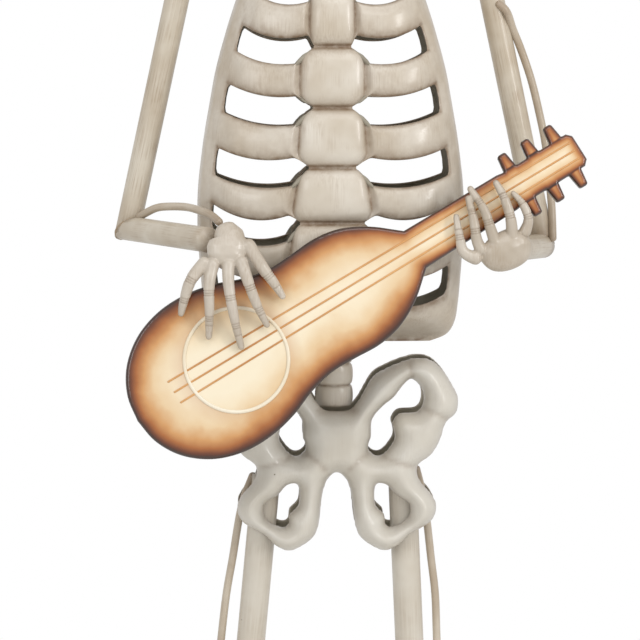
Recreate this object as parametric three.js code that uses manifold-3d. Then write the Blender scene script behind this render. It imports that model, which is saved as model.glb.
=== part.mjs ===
// A standing metal skeleton that plays a guitar, welded up from pressed sheet steel,
// steel tube and cast hands. Millimetres, +Z up. The figure faces -Y, its right arm is on -X,
// and the origin is the middle of the base plate's underside.
import * as THREE from 'three';
import { mergeVertices } from 'three/addons/utils/BufferGeometryUtils.js';
import Module from 'manifold-3d';

const wasm = await Module();
wasm.setup();

// Driving dimensions

const GAP = 0.3; // clearance between two pieces that are welded on the real figure
const SHEET = 2.0; // sheet steel, with its paint
const ARM_TUBE_RADIUS = 12.7;
const THIGH_TUBE_RADIUS = 14.9;
const SHIN_TUBE_RADIUS = 12.7;
const BONE_ROD_RADIUS = 4.1;

const BASE = { width: 430, depth: 320, thickness: 8, corner: 30 };

// The ribcage: heights of its outline with the half width there
const RIB_OUTLINE = [
  [966, 104], [972, 120], [985, 129], [1004, 132.5], [1038, 135.5], [1088, 138.5], [1128, 137.5],
  [1171, 132.5], [1204, 127], [1253, 117.5], [1318, 98], [1365, 79], [1400, 59], [1422, 41],
];
// How far the front pressing stands out at each height
const CHEST_DEPTH = [
  [966, 3], [972, 4], [983, 30], [996, 52], [1030, 64], [1100, 68], [1250, 68], [1330, 60],
  [1400, 40], [1422, 14],
];
const BACK_DEPTH_SHARE = 0.92;
const CHEST_SQUARENESS = 2.7; // exponent of the level section, 2 is an ellipse
const SIDE_RAIL = 16; // width of the strip outside the rib gaps
// Each gap: height of its inner tip, half width of the breastbone there, then how far the
// gap's middle and its outer end lie above the tip, its half opening, and how much wider on
// each side the breastbone's bead below it grows
const RIB_GAPS = [
  { tip: 1385, bone: 15, middle: -3, outer: 6, half: 8, swell: 4 },
  { tip: 1329, bone: 18, middle: -5, outer: 10, half: 12.5, swell: 4 },
  { tip: 1269, bone: 19, middle: -4.5, outer: 10, half: 12.5, swell: 13 },
  { tip: 1208, bone: 20, middle: -3.5, outer: 10.5, half: 14, swell: 11.5 },
  { tip: 1148, bone: 24, middle: -6.5, outer: 6.5, half: 13.5, swell: 9 },
  { tip: 1092, bone: 33, middle: -10, outer: 7, half: 12.5, swell: 7 },
  { tip: 1036, bone: 37, middle: -15, outer: -1.5, half: 14.5, swell: 0 },
];
const CREASE = 2.4; // height of the valley between two breastbone beads
const RIB_ROUND = 8; // a rib's middle stands out this far from its edges
const BEAD_ROUND = 11;
const BEND_PLACE = 0.45; // a gap's middle station lies this share of the way out
const TIP_SHARE = 0.13; // a gap opens over this share of its length
const END_RIB_CROWN = 0.6; // the top and bottom ribs roll over faster than the others
const ROUNDNESS = 0.7; // 1 rounds a rib like a sine, less is fuller

// The pelvis: half outline and its two holes, across from its middle, and height
const PELVIS_X = 6;
const PELVIS_EDGE_Y = 19; // its two pressings stand this far each side of the hip plane
const PELVIS_RISE = 26; // depth of each pressing
const PELVIS_ROUND = 12; // width over which a pressing's edge rounds over
const PELVIS_OUTLINE = [
  [0, 896], [14, 898], [22, 907], [30, 921], [38, 933], [52, 941], [66, 947], [82, 951], [97, 949],
  [109, 939], [119, 924], [126, 909], [124, 893], [113, 882], [108, 866], [99, 850], [84, 837],
  [86, 824], [99, 808], [104, 797], [101, 783], [90, 773], [76, 766], [65, 755], [50, 748.5],
  [34, 755], [22, 766], [17, 784], [15, 805], [9, 824], [0, 831],
];
const ILIAC_HOLE = [
  [77, 928], [86, 920], [89, 907], [84, 896], [64, 893], [57, 884], [59, 867], [50, 853], [42, 849],
  [33, 856], [36, 869], [37, 886], [47, 899], [60, 910], [70, 923],
];
const PUBIC_HOLE = [
  [42, 819], [52, 817], [60, 808], [75, 797], [74, 785], [62, 776], [52, 776], [50, 787],
  [41, 797],
];

// The guitar lies in its own frame: along the neck from the ring's centre, across it, and out
const GUITAR = {
  centre: [-96.6, -112, 958.8],
  neckAngle: 31.7,
  leanBack: 9.4,
  depth: 9,
  wall: 2.5,
  ring: { radius: 51.8, width: 3.6, crown: 1.2, height: 2 },
};
const GUITAR_OUTLINE = [
  [-115.3, 0], [-111, 26], [-97, 51], [-72.5, 71], [-42, 81.5], [-10, 82.5], [20, 76.5],
  [48, 66], [75, 60.4], [100, 60.7], [129, 62.2], [153, 58.4], [172, 50.3], [188, 40],
  [200, 30], [210, 21.5],
];
const NECK_HALF_WIDTH = 20;
const HEADSTOCK = { start: 327, end: 405, half: 18.6, corner: 5, neckRun: 8 };
const TUNING_PEGS = { places: [334, 361, 388], base: 7, tip: 4.8, reach: 35.7 };
const STRINGS = { start: -70, end: 399, startSpacing: 12, endSpacing: 9, width: 2, height: 1.2 };
const STRING_DRIFT = 5; // the middle string starts this far above the neck's middle line

// Joints of the limbs
const SHOULDER_HEIGHT = 1432.6;
const COLLAR_RADIUS = 10;
const RIGHT = {
  name: 'right',
  shoulder: [-133, 5, SHOULDER_HEIGHT],
  elbow: [-211, 30, 1082],
  wrist: [-124, -98, 1077],
  hip: [-67, 0, 826],
  knee: [-105, -6, 425],
  ankle: [-122, 12, 62],
};
const LEFT = {
  name: 'left',
  shoulder: [142, 5, SHOULDER_HEIGHT],
  elbow: [224, 30, 1063],
  wrist: [184, -78, 1067],
  hip: [75, 0, 826],
  knee: [93, -6, 425],
  ankle: [104, 12, 62],
};
const KNEE_RADII = [21, 22, 26];
const ANKLE_RADIUS = 16;
const ANKLE_LOW = 24; // the foot of the ankle's round block
const FLOOR_CUT = 40; // height of the block that trims the soles flat
// A foot from its ankle's middle: places outwards, forwards and up, then half width and height
const HEEL = [[0, 20, 28, 17, 15], [0, -20, 24, 18, 15], [0, -42, 20, 13, 11]];
// Stations of a toe's bone; the toes fan out from the middle one
const TOE = [
  { out: 0, fan: 5.5, forward: 10, up: 31, radius: 9 },
  { out: 7, fan: 9.5, forward: 72, up: 22, radius: 7.5 },
  { out: 14, fan: 13, forward: 126, up: 14, radius: 6 },
];
const TOE_PLACES = [-2, -1, 0, 1, 2];
const TOE_SHORTENING = 7; // each toe away from the second one ends this much sooner
const LUMBAR = { x: 3.5, y: 2, low: 898.5, beads: 3, radius: 19.8, pinch: 2.2 };
const NECK = { low: 1432.6, high: 1548, beads: 3, radius: 17, pinch: 2 };
const COLLAR_BOW = { share: 0.55, forward: 10, rise: 6 }; // the collar bar bows out halfway

// The skull: its level sections from chin to crown, with front and back measured forwards
const SKULL_CENTRE = [0, -6, 1594];
const SKULL_SECTIONS = [
  { up: -128, half: 19, front: 82, back: 46 },
  { up: -118, half: 31, front: 89, back: 32 },
  { up: -100, half: 40, front: 92, back: 16 },
  { up: -76, half: 48, front: 89, back: 4 },
  { up: -56, half: 60, front: 85, back: -24 },
  { up: -40, half: 65, front: 82, back: -70 },
  { up: -10, half: 67, front: 84, back: -92 },
  { up: 25, half: 71, front: 86, back: -97 },
  { up: 52, half: 65, front: 76, back: -86 },
  { up: 75, half: 47, front: 52, back: -60 },
  { up: 88, half: 18, front: 16, back: -26 },
];
const EYE_SOCKET = { across: 30, forward: 83, up: -24, radii: [23, 32, 20] };
const CHEEK_HOLLOW = { across: 58, forward: 40, up: -86, radii: [19, 34, 24] };
// Stations of the nose opening: [height, half width]
const NOSE = { forward: 88, half: 16, stations: [[-42, 4], [-62, 11], [-74, 7]] };
const TEETH = { bite: -97, height: 9, across: 52, count: 8, slit: 2.2, depth: 5 };

// Hands: stations from wrist to knuckles and from palm to fingertip, [x, y, z, radius, depth]
RIGHT.palm = [
  [-115, -99, 1090, 9, 8], [-105, -105, 1080, 17, 11], [-106, -112, 1066, 22, 11],
  [-107, -116, 1052, 25, 8],
];
RIGHT.fingers = [
  [[-124, -114, 1060, 6.8], [-141, -120, 1039, 6], [-148, -118, 1019, 4.8], [-152, -112, 1002, 3]],
  [[-118, -115, 1060, 6.8], [-123, -122, 1036, 5.8], [-123, -121, 1007, 4.8], [-124, -113, 979, 3.2]],
  [[-104, -115, 1060, 6.8], [-104, -123, 1036, 5.8], [-98, -121, 999, 4.8], [-91, -114, 969, 3.2]],
  [[-93, -115, 1062, 6.8], [-86, -122, 1041, 5.8], [-76, -119, 1014, 4.8], [-65, -112, 991, 3.1]],
  [[-88, -108, 1078, 7.4], [-70, -115, 1050, 6.2], [-59, -114, 1035, 5], [-49, -108, 1019, 3.1]],
];
LEFT.palm = [
  [196, -84, 1079, 11, 7], [184, -89, 1071, 19, 10], [166, -94, 1063, 19, 10],
  [147, -95, 1058, 11, 7],
];
LEFT.fingers = [
  [[148, -95, 1056, 7.4], [130, -99, 1065, 5.6], [126, -100, 1079, 4.7], [122, -96, 1103, 2.8]],
  [[150, -95, 1062, 6.6], [143, -99, 1077, 5.6], [140, -100, 1095, 4.8], [134, -94, 1121, 3.2]],
  [[164, -95, 1067, 6.6], [157, -99, 1087, 5.6], [150, -99, 1107, 4.7], [135, -92, 1130, 3.2]],
  [[179, -92, 1074, 6.6], [177, -97, 1097, 5.5], [170, -97, 1119, 4.6], [161, -91, 1136, 3.2]],
  [[190, -88, 1080, 6.6], [195, -92, 1096, 5], [190, -93, 1111, 4.3], [178, -90, 1125, 2.6]],
];

// The thin rods beside the tubes, as bent: [x, y, z]
const ROD_RIGHT_FOREARM = [
  [-207, 27, 1089], [-193, 12, 1098], [-179, -5, 1105], [-164, -20, 1107], [-147, -38, 1107],
  [-132, -60, 1104], [-121, -76, 1100], [-112, -92, 1093],
];
const ROD_LEFT_ARM = [
  [170, 2, 1316], [180, 1, 1308], [189, 11, 1288], [197, 16, 1270], [209, 20, 1237],
  [218, 23, 1203], [225, 24, 1170], [229, 24, 1137], [232, 22, 1103], [233, 18, 1068],
];
const ROD_RIGHT_THIGH = [
  [-80, 2, 828], [-92, 3, 796], [-103, 2, 735], [-109, 1, 701], [-115, 0, 651], [-122, -2, 585],
  [-125, -4, 520], [-126, -5, 465], [-116, -6, 436],
];
const ROD_LEFT_THIGH = [
  [89, 2, 835], [98, 3, 798], [106, 2, 734], [110, 1, 700], [112, 0, 650], [115, -2, 585],
  [116.5, -4, 520], [115, -5, 465], [104, -6, 436],
];
const ROD_RIGHT_SHIN = [
  [-116, -5, 410], [-131, -1, 380], [-139, 3, 300], [-143, 8, 200], [-141, 11, 110], [-130, 12, 50],
];
const ROD_LEFT_SHIN = [
  [104, -5, 410], [118, -1, 380], [125, 3, 300], [128, 8, 200], [124, 11, 110], [112, 12, 50],
];

// Colours
const bonePaint = new THREE.MeshStandardMaterial({
  name: 'bone_paint', color: 0xcbc2b0, roughness: 0.38, metalness: 0.1,
});
const sunburstPaint = new THREE.MeshStandardMaterial({
  name: 'sunburst_paint', color: 0xc98a4b, roughness: 0.25, metalness: 0.1,
});
const basePaint = new THREE.MeshStandardMaterial({
  name: 'base_paint', color: 0x6f6457, roughness: 0.5, metalness: 0.3,
});

const figure = new THREE.Group();

function addPiece(name, geometry, material = bonePaint, parent = figure) {
  const mesh = new THREE.Mesh(geometry, material);
  mesh.name = name;
  parent.add(mesh);
  return mesh;
}

// Joining and cutting

function solidOf(geometry) {
  const bare = geometry.clone();
  bare.deleteAttribute('normal');
  bare.deleteAttribute('uv');
  const merged = mergeVertices(bare, 1e-4);
  return new wasm.Manifold(new wasm.Mesh({
    numProp: 3,
    vertProperties: new Float32Array(merged.attributes.position.array),
    triVerts: new Uint32Array(merged.index.array),
  }));
}

function geometryOf(solid) {
  const mesh = solid.getMesh();
  const geometry = new THREE.BufferGeometry();
  geometry.setAttribute('position', new THREE.BufferAttribute(mesh.vertProperties, 3));
  geometry.setIndex(new THREE.BufferAttribute(mesh.triVerts, 1));
  return geometry;
}

function joined(geometries) {
  return geometryOf(geometries.map(solidOf).reduce((whole, piece) => whole.add(piece)));
}

function cutBy(geometry, cutters) {
  return geometryOf(cutters.map(solidOf).reduce((whole, cutter) => whole.subtract(cutter),
    solidOf(geometry)));
}

// Curves through tables

// The value at one place of a smooth curve through [place, value] stations
function along(stations, place) {
  const last = stations.length - 1;
  if (place <= stations[0][0]) return stations[0][1];
  if (place >= stations[last][0]) return stations[last][1];
  let k = 0;
  while (stations[k + 1][0] < place) k += 1;
  const slope = (i) => {
    const before = stations[Math.max(i - 1, 0)];
    const after = stations[Math.min(i + 1, last)];
    return (after[1] - before[1]) / (after[0] - before[0]);
  };
  const width = stations[k + 1][0] - stations[k][0];
  const t = (place - stations[k][0]) / width;
  const rise = stations[k + 1][1] - stations[k][1];
  const bend = (1 - t) * (slope(k) * width - rise) - t * (slope(k + 1) * width - rise);
  return stations[k][1] + rise * t + t * (1 - t) * bend;
}

function closedSpline(points, count) {
  const curve = new THREE.CatmullRomCurve3(
    points.map(([x, z]) => new THREE.Vector3(x, z, 0)), true, 'centripetal',
  );
  return curve.getSpacedPoints(count).slice(0, count).map((p) => new THREE.Vector2(p.x, p.y));
}

// Sheet metal

// A sheet on a grid: pointAt gives each grid point, keepCell says which cells hold metal.
// The metal's thickness goes to the side that the normals point away from.
function sheetFromGrid({ across, up, pointAt, keepCell, settle = (p) => p }) {
  const stride = across + 1;
  const outer = [];
  for (let j = 0; j <= up; j += 1) {
    for (let i = 0; i <= across; i += 1) outer.push(pointAt(i, j));
  }
  const faces = [];
  for (let j = 0; j < up; j += 1) {
    for (let i = 0; i < across; i += 1) {
      if (keepCell(i, j)) {
        const a = j * stride + i;
        faces.push([a, a + 1, a + stride + 1], [a, a + stride + 1, a + stride]);
      }
    }
  }
  return thickened(outer, faces, settle);
}

function thickened(outer, faces, settle) {
  const normals = outer.map(() => new THREE.Vector3());
  for (const [a, b, c] of faces) {
    const ab = outer[b].clone().sub(outer[a]);
    const ac = outer[c].clone().sub(outer[a]);
    const normal = ab.cross(ac);
    for (const corner of [a, b, c]) normals[corner].add(normal);
  }
  const inner = outer.map((p, k) => settle(p.clone().addScaledVector(normals[k].normalize(), -SHEET)));
  const count = outer.length;
  const edges = new Map();
  for (const [a, b, c] of faces) {
    for (const [from, to] of [[a, b], [b, c], [c, a]]) {
      const opposite = `${to},${from}`;
      if (edges.has(opposite)) edges.delete(opposite);
      else edges.set(`${from},${to}`, [from, to]);
    }
  }
  const index = [];
  for (const [a, b, c] of faces) {
    index.push(a, b, c, count + a, count + c, count + b);
  }
  for (const [from, to] of edges.values()) {
    index.push(to, from, count + from, to, count + from, count + to);
  }
  const geometry = new THREE.BufferGeometry();
  const flat = [...outer, ...inner].flatMap((p) => [p.x, p.y, p.z]);
  geometry.setAttribute('position', new THREE.Float32BufferAttribute(flat, 3));
  geometry.setIndex(index);
  return geometry;
}

// The nearest point of closed outlines, with the distance, positive on the metal
function nearestEdge(outlines, x, z) {
  let best = { distance: Infinity };
  let inside = false;
  for (const outline of outlines) {
    for (let k = 0; k < outline.length; k += 1) {
      const a = outline[k];
      const b = outline[(k + 1) % outline.length];
      const run = b.clone().sub(a);
      const t = THREE.MathUtils.clamp(((x - a.x) * run.x + (z - a.y) * run.y) / run.lengthSq(), 0, 1);
      const foot = a.clone().addScaledVector(run, t);
      const distance = Math.hypot(foot.x - x, foot.y - z);
      if (distance < best.distance) best = { distance, x: foot.x, z: foot.y };
      const crosses = (a.y > z) !== (b.y > z);
      if (crosses && x < a.x + ((z - a.y) / (b.y - a.y)) * run.x) inside = !inside;
    }
  }
  return { ...best, distance: inside ? best.distance : -best.distance };
}

// A pressed sheet cut to outlines in the XZ plane, standing out by depthAt towards facing Y
function pressedSheet({ outlines, pitch, depthAt, facing }) {
  const all = outlines.flat();
  const halfWidth = Math.max(...all.map((p) => Math.abs(p.x)));
  const low = Math.min(...all.map((p) => p.y));
  const high = Math.max(...all.map((p) => p.y));
  const across = 2 * Math.ceil(halfWidth / pitch);
  const up = Math.ceil((high - low) / pitch);
  const stepUp = (high - low) / up;
  const stride = across + 1;
  const spots = [];
  for (let j = 0; j <= up; j += 1) {
    for (let i = 0; i <= across; i += 1) {
      spots.push({ x: (i - across / 2) * pitch, z: low + j * stepUp });
    }
  }
  const keep = [];
  for (let j = 0; j < up; j += 1) {
    for (let i = 0; i < across; i += 1) {
      const x = (i + 0.5 - across / 2) * pitch;
      keep.push(nearestEdge(outlines, x, low + (j + 0.5) * stepUp).distance > 0);
    }
  }
  const kept = (i, j) => i >= 0 && j >= 0 && i < across && j < up && keep[j * across + i];
  // Two cells that meet only at a corner would pinch the sheet, so one more is kept
  for (let j = 1; j < up; j += 1) {
    for (let i = 1; i < across; i += 1) {
      const [a, b, c, d] = [kept(i - 1, j - 1), kept(i, j - 1), kept(i - 1, j), kept(i, j)];
      if (a && d && !b && !c) keep[(j - 1) * across + i] = true;
      if (b && c && !a && !d) keep[(j - 1) * across + i - 1] = true;
    }
  }
  const around = (i, j) => [kept(i - 1, j - 1), kept(i, j - 1), kept(i - 1, j), kept(i, j)];
  const rounds = 6;
  for (let round = 0; round < rounds; round += 1) {
    const moved = spots.map((spot, k) => {
      const i = k % stride;
      const j = Math.floor(k / stride);
      const cells = around(i, j).filter(Boolean).length;
      if (cells === 0) return spot;
      const near = [];
      if (kept(i - 1, j - 1) || kept(i - 1, j)) near.push(spots[k - 1]);
      if (kept(i, j - 1) || kept(i, j)) near.push(spots[k + 1]);
      if (kept(i - 1, j - 1) || kept(i, j - 1)) near.push(spots[k - stride]);
      if (kept(i - 1, j) || kept(i, j)) near.push(spots[k + stride]);
      const mean = {
        x: near.reduce((sum, p) => sum + p.x, spot.x * 2) / (near.length + 2),
        z: near.reduce((sum, p) => sum + p.z, spot.z * 2) / (near.length + 2),
      };
      if (cells === 4) return mean;
      const foot = nearestEdge(outlines, spot.x, spot.z);
      return { x: foot.x, z: foot.z };
    });
    moved.forEach((spot, k) => { spots[k] = spot; });
  }
  const outer = spots.map((spot) => {
    const { distance } = nearestEdge(outlines, spot.x, spot.z);
    return new THREE.Vector3(spot.x, facing * depthAt(spot.x, spot.z, Math.max(distance, 0)), spot.z);
  });
  const faces = [];
  for (let j = 0; j < up; j += 1) {
    for (let i = 0; i < across; i += 1) {
      if (kept(i, j)) {
        const a = j * stride + i;
        const [b, c, d] = [a + 1, a + stride + 1, a + stride];
        if (facing < 0) faces.push([a, b, c], [a, c, d]);
        else faces.push([a, c, b], [a, d, c]);
      }
    }
  }
  return thickened(outer, faces, (p) => p);
}

// Round bars

const TUBE_SIDES = 12;
const BEAD_SIDES = 10;
const ROD_STEPS = 7;
const END_SHARE = 0.65; // a limb's last ring is this much of its width, to round it off

function curveThrough(points) {
  const places = points.map(([x, y, z]) => new THREE.Vector3(x, y, z));
  return new THREE.CatmullRomCurve3(places, false, 'centripetal');
}

// A cylinder laid along a curve, with its own radii at each station and rounded ends
function limb(stations, sides, steps) {
  const curve = curveThrough(stations);
  const radii = stations.map((s, k) => [k / (stations.length - 1), s[3]]);
  const thick = stations.map((s, k) => [k / (stations.length - 1), s[4] ?? s[3]]);
  const geometry = new THREE.CylinderGeometry(1, 1, 1, sides, steps, false);
  const merged = bareMerged(geometry);
  const place = merged.attributes.position;
  const sideways = new THREE.Vector3();
  for (let k = 0; k < place.count; k += 1) {
    const t = 0.5 - place.getY(k);
    const centre = curve.getPoint(t);
    const forward = curve.getTangent(t);
    sideways.set(0, 1, 0).cross(forward).normalize();
    const outward = forward.clone().cross(sideways).normalize();
    const endRound = t === 0 || t === 1 ? END_SHARE : 1;
    const wide = along(radii, t) * endRound;
    const deep = along(thick, t) * endRound;
    const px = place.getX(k);
    const pz = place.getZ(k);
    centre.addScaledVector(sideways, px * wide).addScaledVector(outward, pz * deep);
    place.setXYZ(k, centre.x, centre.y, centre.z);
  }
  return facingOut(merged);
}

function bareMerged(geometry) {
  geometry.deleteAttribute('normal');
  geometry.deleteAttribute('uv');
  return mergeVertices(geometry, 1e-4);
}

// Turns a closed mesh the right way out by the sign of its volume
function facingOut(geometry) {
  const place = geometry.attributes.position;
  const index = geometry.index.array;
  const [a, b, c] = [new THREE.Vector3(), new THREE.Vector3(), new THREE.Vector3()];
  let volume = 0;
  for (let k = 0; k < index.length; k += 3) {
    a.fromBufferAttribute(place, index[k]);
    b.fromBufferAttribute(place, index[k + 1]);
    c.fromBufferAttribute(place, index[k + 2]);
    volume += a.dot(b.cross(c));
  }
  if (volume < 0) {
    for (let k = 0; k < index.length; k += 3) {
      [index[k + 1], index[k + 2]] = [index[k + 2], index[k + 1]];
    }
  }
  return geometry;
}

function tube(from, to, radius, sides = TUBE_SIDES) {
  const start = new THREE.Vector3(...from);
  const end = new THREE.Vector3(...to);
  const line = new THREE.LineCurve3(start, end);
  const geometry = new THREE.CylinderGeometry(radius, radius, line.getLength(), sides, 1, false);
  const direction = end.clone().sub(start).normalize();
  const upright = new THREE.Vector3(0, 1, 0);
  geometry.applyQuaternion(new THREE.Quaternion().setFromUnitVectors(upright, direction));
  geometry.translate(...start.clone().add(end).multiplyScalar(0.5).toArray());
  return bareMerged(geometry);
}

function boneRod(points) {
  const section = new THREE.Shape().absarc(0, 0, BONE_ROD_RADIUS, 0, 2 * Math.PI);
  return bareMerged(new THREE.ExtrudeGeometry(section, {
    steps: ROD_STEPS, extrudePath: curveThrough(points), curveSegments: 3,
  }));
}

// A tube pressed into a row of beads, from low to high
function beadedTube({ x, y, low, high, beads, radius, pinch }) {
  const rows = 3;
  const profile = [new THREE.Vector2(0, low)];
  for (let k = 0; k <= beads * rows; k += 1) {
    const swell = Math.sin((Math.PI * (k % rows)) / rows) ** ROUNDNESS;
    profile.push(new THREE.Vector2(radius - pinch * (1 - swell), low + ((high - low) * k) / (beads * rows)));
  }
  profile.push(new THREE.Vector2(0, high));
  const geometry = new THREE.LatheGeometry(profile, BEAD_SIDES);
  geometry.rotateX(Math.PI / 2);
  geometry.translate(x, y, 0);
  return facingOut(bareMerged(geometry));
}

// Ribcage

const FRONT_PRESSING = {
  facing: -1, depthShare: 1, bone: [0, 0.6, 1], ribs: [0.13, 0.5, 1], rows: [0, 0.3, 0.7, 1],
};
const BACK_PRESSING = {
  facing: 1, depthShare: BACK_DEPTH_SHARE, bone: [0, 1], ribs: [0.13, 0.5, 1], rows: [0, 0.5, 1],
};

function gapCurve(gap, share, side) {
  const bend = (gap.middle - gap.outer * BEND_PLACE) / (BEND_PLACE * (1 - BEND_PLACE));
  const middle = gap.tip + gap.outer * share + bend * share * (1 - share);
  const opening = share >= TIP_SHARE ? 1 : Math.sqrt(1 - (1 - share / TIP_SHARE) ** 2);
  return middle + side * (CREASE / 2 + (gap.half - CREASE / 2) * opening);
}

const ribTop = RIB_OUTLINE[RIB_OUTLINE.length - 1][0];
const ribBottom = RIB_OUTLINE[0][0];

// One point of a pressing: the column is its place across, the row its band of ribs and height
function ribPoint(column, row, { facing, depthShare }) {
  const above = RIB_GAPS[row.band - 1];
  const below = RIB_GAPS[row.band];
  const share = column.part === 'rib' ? column.share : Number(column.part === 'rail');
  const bandTop = above ? gapCurve(above, share, -1) : ribTop;
  const bandBottom = below ? gapCurve(below, share, 1) : ribBottom;
  const z = bandTop + (bandBottom - bandTop) * (below ? row.v : row.v ** END_RIB_CROWN);
  const round = Math.sin(Math.PI * row.v) ** ROUNDNESS;
  const boneAbove = above ? above.bone : RIB_GAPS[0].bone;
  const boneBelow = below ? below.bone : above.bone;
  const swell = above && below ? above.swell * round : 0;
  const bone = boneAbove + (boneBelow - boneAbove) * row.v + swell;
  const rim = along(RIB_OUTLINE, z);
  const reach = rim - SIDE_RAIL;
  let x = bone * column.share;
  if (column.part === 'rib') x = bone + (reach - bone) * column.share;
  if (column.part === 'rail') x = reach + SIDE_RAIL * column.share;
  const section = Math.max(1 - (x / rim) ** CHEST_SQUARENESS, 0) ** (1 / CHEST_SQUARENESS);
  let bulge = 0;
  if (below && column.part === 'bone') bulge = BEAD_ROUND * round * Math.sqrt(1 - column.share ** 2);
  if (below && column.part === 'rib') bulge = RIB_ROUND * round * (column.share === 1 ? 0.5 : 1);
  const depth = along(CHEST_DEPTH, z) * section * depthShare + bulge;
  return new THREE.Vector3(x, facing * (GAP / 2 + depth), z);
}

function ribcagePressing(pressing) {
  const columns = [
    ...pressing.bone.map((share) => ({ part: 'bone', share })),
    ...pressing.ribs.map((share) => ({ part: 'rib', share })),
    { part: 'rail', share: 0.5 },
    { part: 'rail', share: 1 },
  ];
  const rows = [];
  for (let band = RIB_GAPS.length; band >= 0; band -= 1) {
    [...pressing.rows].reverse().forEach((v) => rows.push({ band, v }));
  }
  const half = columns.length - 1;
  return sheetFromGrid({
    across: 2 * half,
    up: rows.length - 1,
    pointAt: (i, j) => {
      const side = i - half;
      const point = ribPoint(columns[Math.abs(side)], rows[j], pressing);
      point.x *= -Math.sign(side) * pressing.facing;
      return point;
    },
    keepCell: (i, j) => {
      const outerColumn = columns[Math.max(Math.abs(i - half), Math.abs(i + 1 - half))];
      return rows[j].band === rows[j + 1].band || outerColumn.part !== 'rib';
    },
    settle: (p) => p.setY(pressing.facing * Math.max(pressing.facing * p.y, GAP / 2)),
  });
}

addPiece('ribcage_front', ribcagePressing(FRONT_PRESSING));
addPiece('ribcage_back', ribcagePressing(BACK_PRESSING));

// Spine and neck

addPiece('lumbar_spine', beadedTube({ ...LUMBAR, high: ribBottom - GAP }));

// Pelvis

function mirroredOutline(half, count) {
  const left = half.slice(1, -1).reverse().map(([x, z]) => [-x, z]);
  return closedSpline([...half, ...left], count);
}

const OUTLINE_FINENESS = 3; // points of a smoothed outline to each of its stations
const holeOutline = (hole, side) => closedSpline(
  hole.map(([x, z]) => [side * x, z]), OUTLINE_FINENESS * hole.length,
);
const pelvisOutlines = [
  mirroredOutline(PELVIS_OUTLINE, 2 * OUTLINE_FINENESS * PELVIS_OUTLINE.length),
  holeOutline(ILIAC_HOLE, 1),
  holeOutline(ILIAC_HOLE, -1),
  holeOutline(PUBIC_HOLE, 1),
  holeOutline(PUBIC_HOLE, -1),
];

function pelvisDepth(x, z, distance) {
  const inward = Math.min(distance / PELVIS_ROUND, 1);
  return PELVIS_EDGE_Y + PELVIS_RISE * Math.sqrt(1 - (1 - inward) ** 2);
}

const PELVIS_PITCH = { front: 13, back: 18 }; // size of the grid cells of each pressing
const pelvisFront = pressedSheet({
  outlines: pelvisOutlines, pitch: PELVIS_PITCH.front, depthAt: pelvisDepth, facing: -1,
});
const pelvisBack = pressedSheet({
  outlines: pelvisOutlines, pitch: PELVIS_PITCH.back, depthAt: pelvisDepth, facing: 1,
});
addPiece('pelvis_front', pelvisFront).position.x = PELVIS_X;
addPiece('pelvis_back', pelvisBack).position.x = PELVIS_X;

// Collar bar, neck and skull

function collarBar(radius) {
  const { share, forward, rise } = COLLAR_BOW;
  const end = ({ shoulder }) => [
    shoulder[0] + Math.sign(shoulder[0]) * ARM_TUBE_RADIUS, shoulder[1], shoulder[2], radius,
  ];
  const bow = ({ shoulder }) => [shoulder[0] * share, -forward, shoulder[2] + rise, radius];
  return limb([end(RIGHT), bow(RIGHT), [0, 0, SHOULDER_HEIGHT, radius], bow(LEFT), end(LEFT)], 8, 4);
}

const fatCollar = collarBar(COLLAR_RADIUS + GAP);
addPiece('collar_bar', collarBar(COLLAR_RADIUS));
addPiece('neck', cutBy(beadedTube({ x: 0, y: 0, ...NECK }), [fatCollar]));

function ball(centre, radii, across = 10, up = 6) {
  const geometry = new THREE.SphereGeometry(1, across, up);
  geometry.rotateX(Math.PI / 2);
  geometry.scale(...radii);
  geometry.translate(...centre);
  return bareMerged(geometry);
}

// A place on the skull from its centre: to its side, forwards and up
function onSkull(sideways, forward, up) {
  const [x, y, z] = SKULL_CENTRE;
  return [x + sideways, y - forward, z + up];
}

function skullShell(sides) {
  const rows = SKULL_SECTIONS.length - 1;
  const geometry = bareMerged(new THREE.CylinderGeometry(1, 1, 1, sides, rows));
  const place = geometry.attributes.position;
  for (let k = 0; k < place.count; k += 1) {
    const section = SKULL_SECTIONS[Math.round((place.getY(k) + 0.5) * rows)];
    const middle = (section.front + section.back) / 2;
    const halfDepth = (section.front - section.back) / 2;
    const forward = middle + place.getZ(k) * halfDepth;
    place.setXYZ(k, ...onSkull(place.getX(k) * section.half, forward, section.up));
  }
  return facingOut(geometry);
}

function teethCutters() {
  const cutters = [];
  const rise = TEETH.height * 2 + TEETH.slit;
  for (let k = 0; k <= TEETH.count; k += 1) {
    const sideways = (k / TEETH.count - 0.5) * TEETH.across;
    const { half, front, back } = SKULL_SECTIONS[2];
    const bow = Math.sqrt(1 - (sideways / half) ** 2);
    const forward = (front + back) / 2 + ((front - back) / 2) * bow;
    const groove = new THREE.BoxGeometry(TEETH.slit, TEETH.depth, rise);
    groove.translate(...onSkull(sideways, forward, TEETH.bite));
    cutters.push(bareMerged(groove));
  }
  return cutters;
}

function skull() {
  const bothSides = ({ across, forward, up, radii }, sides, rows) => [-1, 1].map((side) => ball(
    onSkull(side * across, forward, up), radii, sides, rows,
  ));
  const nose = limb(NOSE.stations.map(([up, half]) => [
    ...onSkull(0, NOSE.forward, up), half, NOSE.half,
  ]), 6, 2);
  const holeRadius = (NECK.radius + GAP) / Math.cos(Math.PI / TUBE_SIDES);
  const neckHole = tube([0, 0, NECK.low], [0, 0, NECK.high + GAP], holeRadius);
  return cutBy(skullShell(12), [
    ...bothSides(EYE_SOCKET, 8, 6), ...bothSides(CHEEK_HOLLOW, 8, 6), nose, ...teethCutters(), neckHole,
  ]);
}

addPiece('skull', skull());

// Arms and hands

function palmOf(palm) {
  return limb(palm, 8, 4);
}

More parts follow.
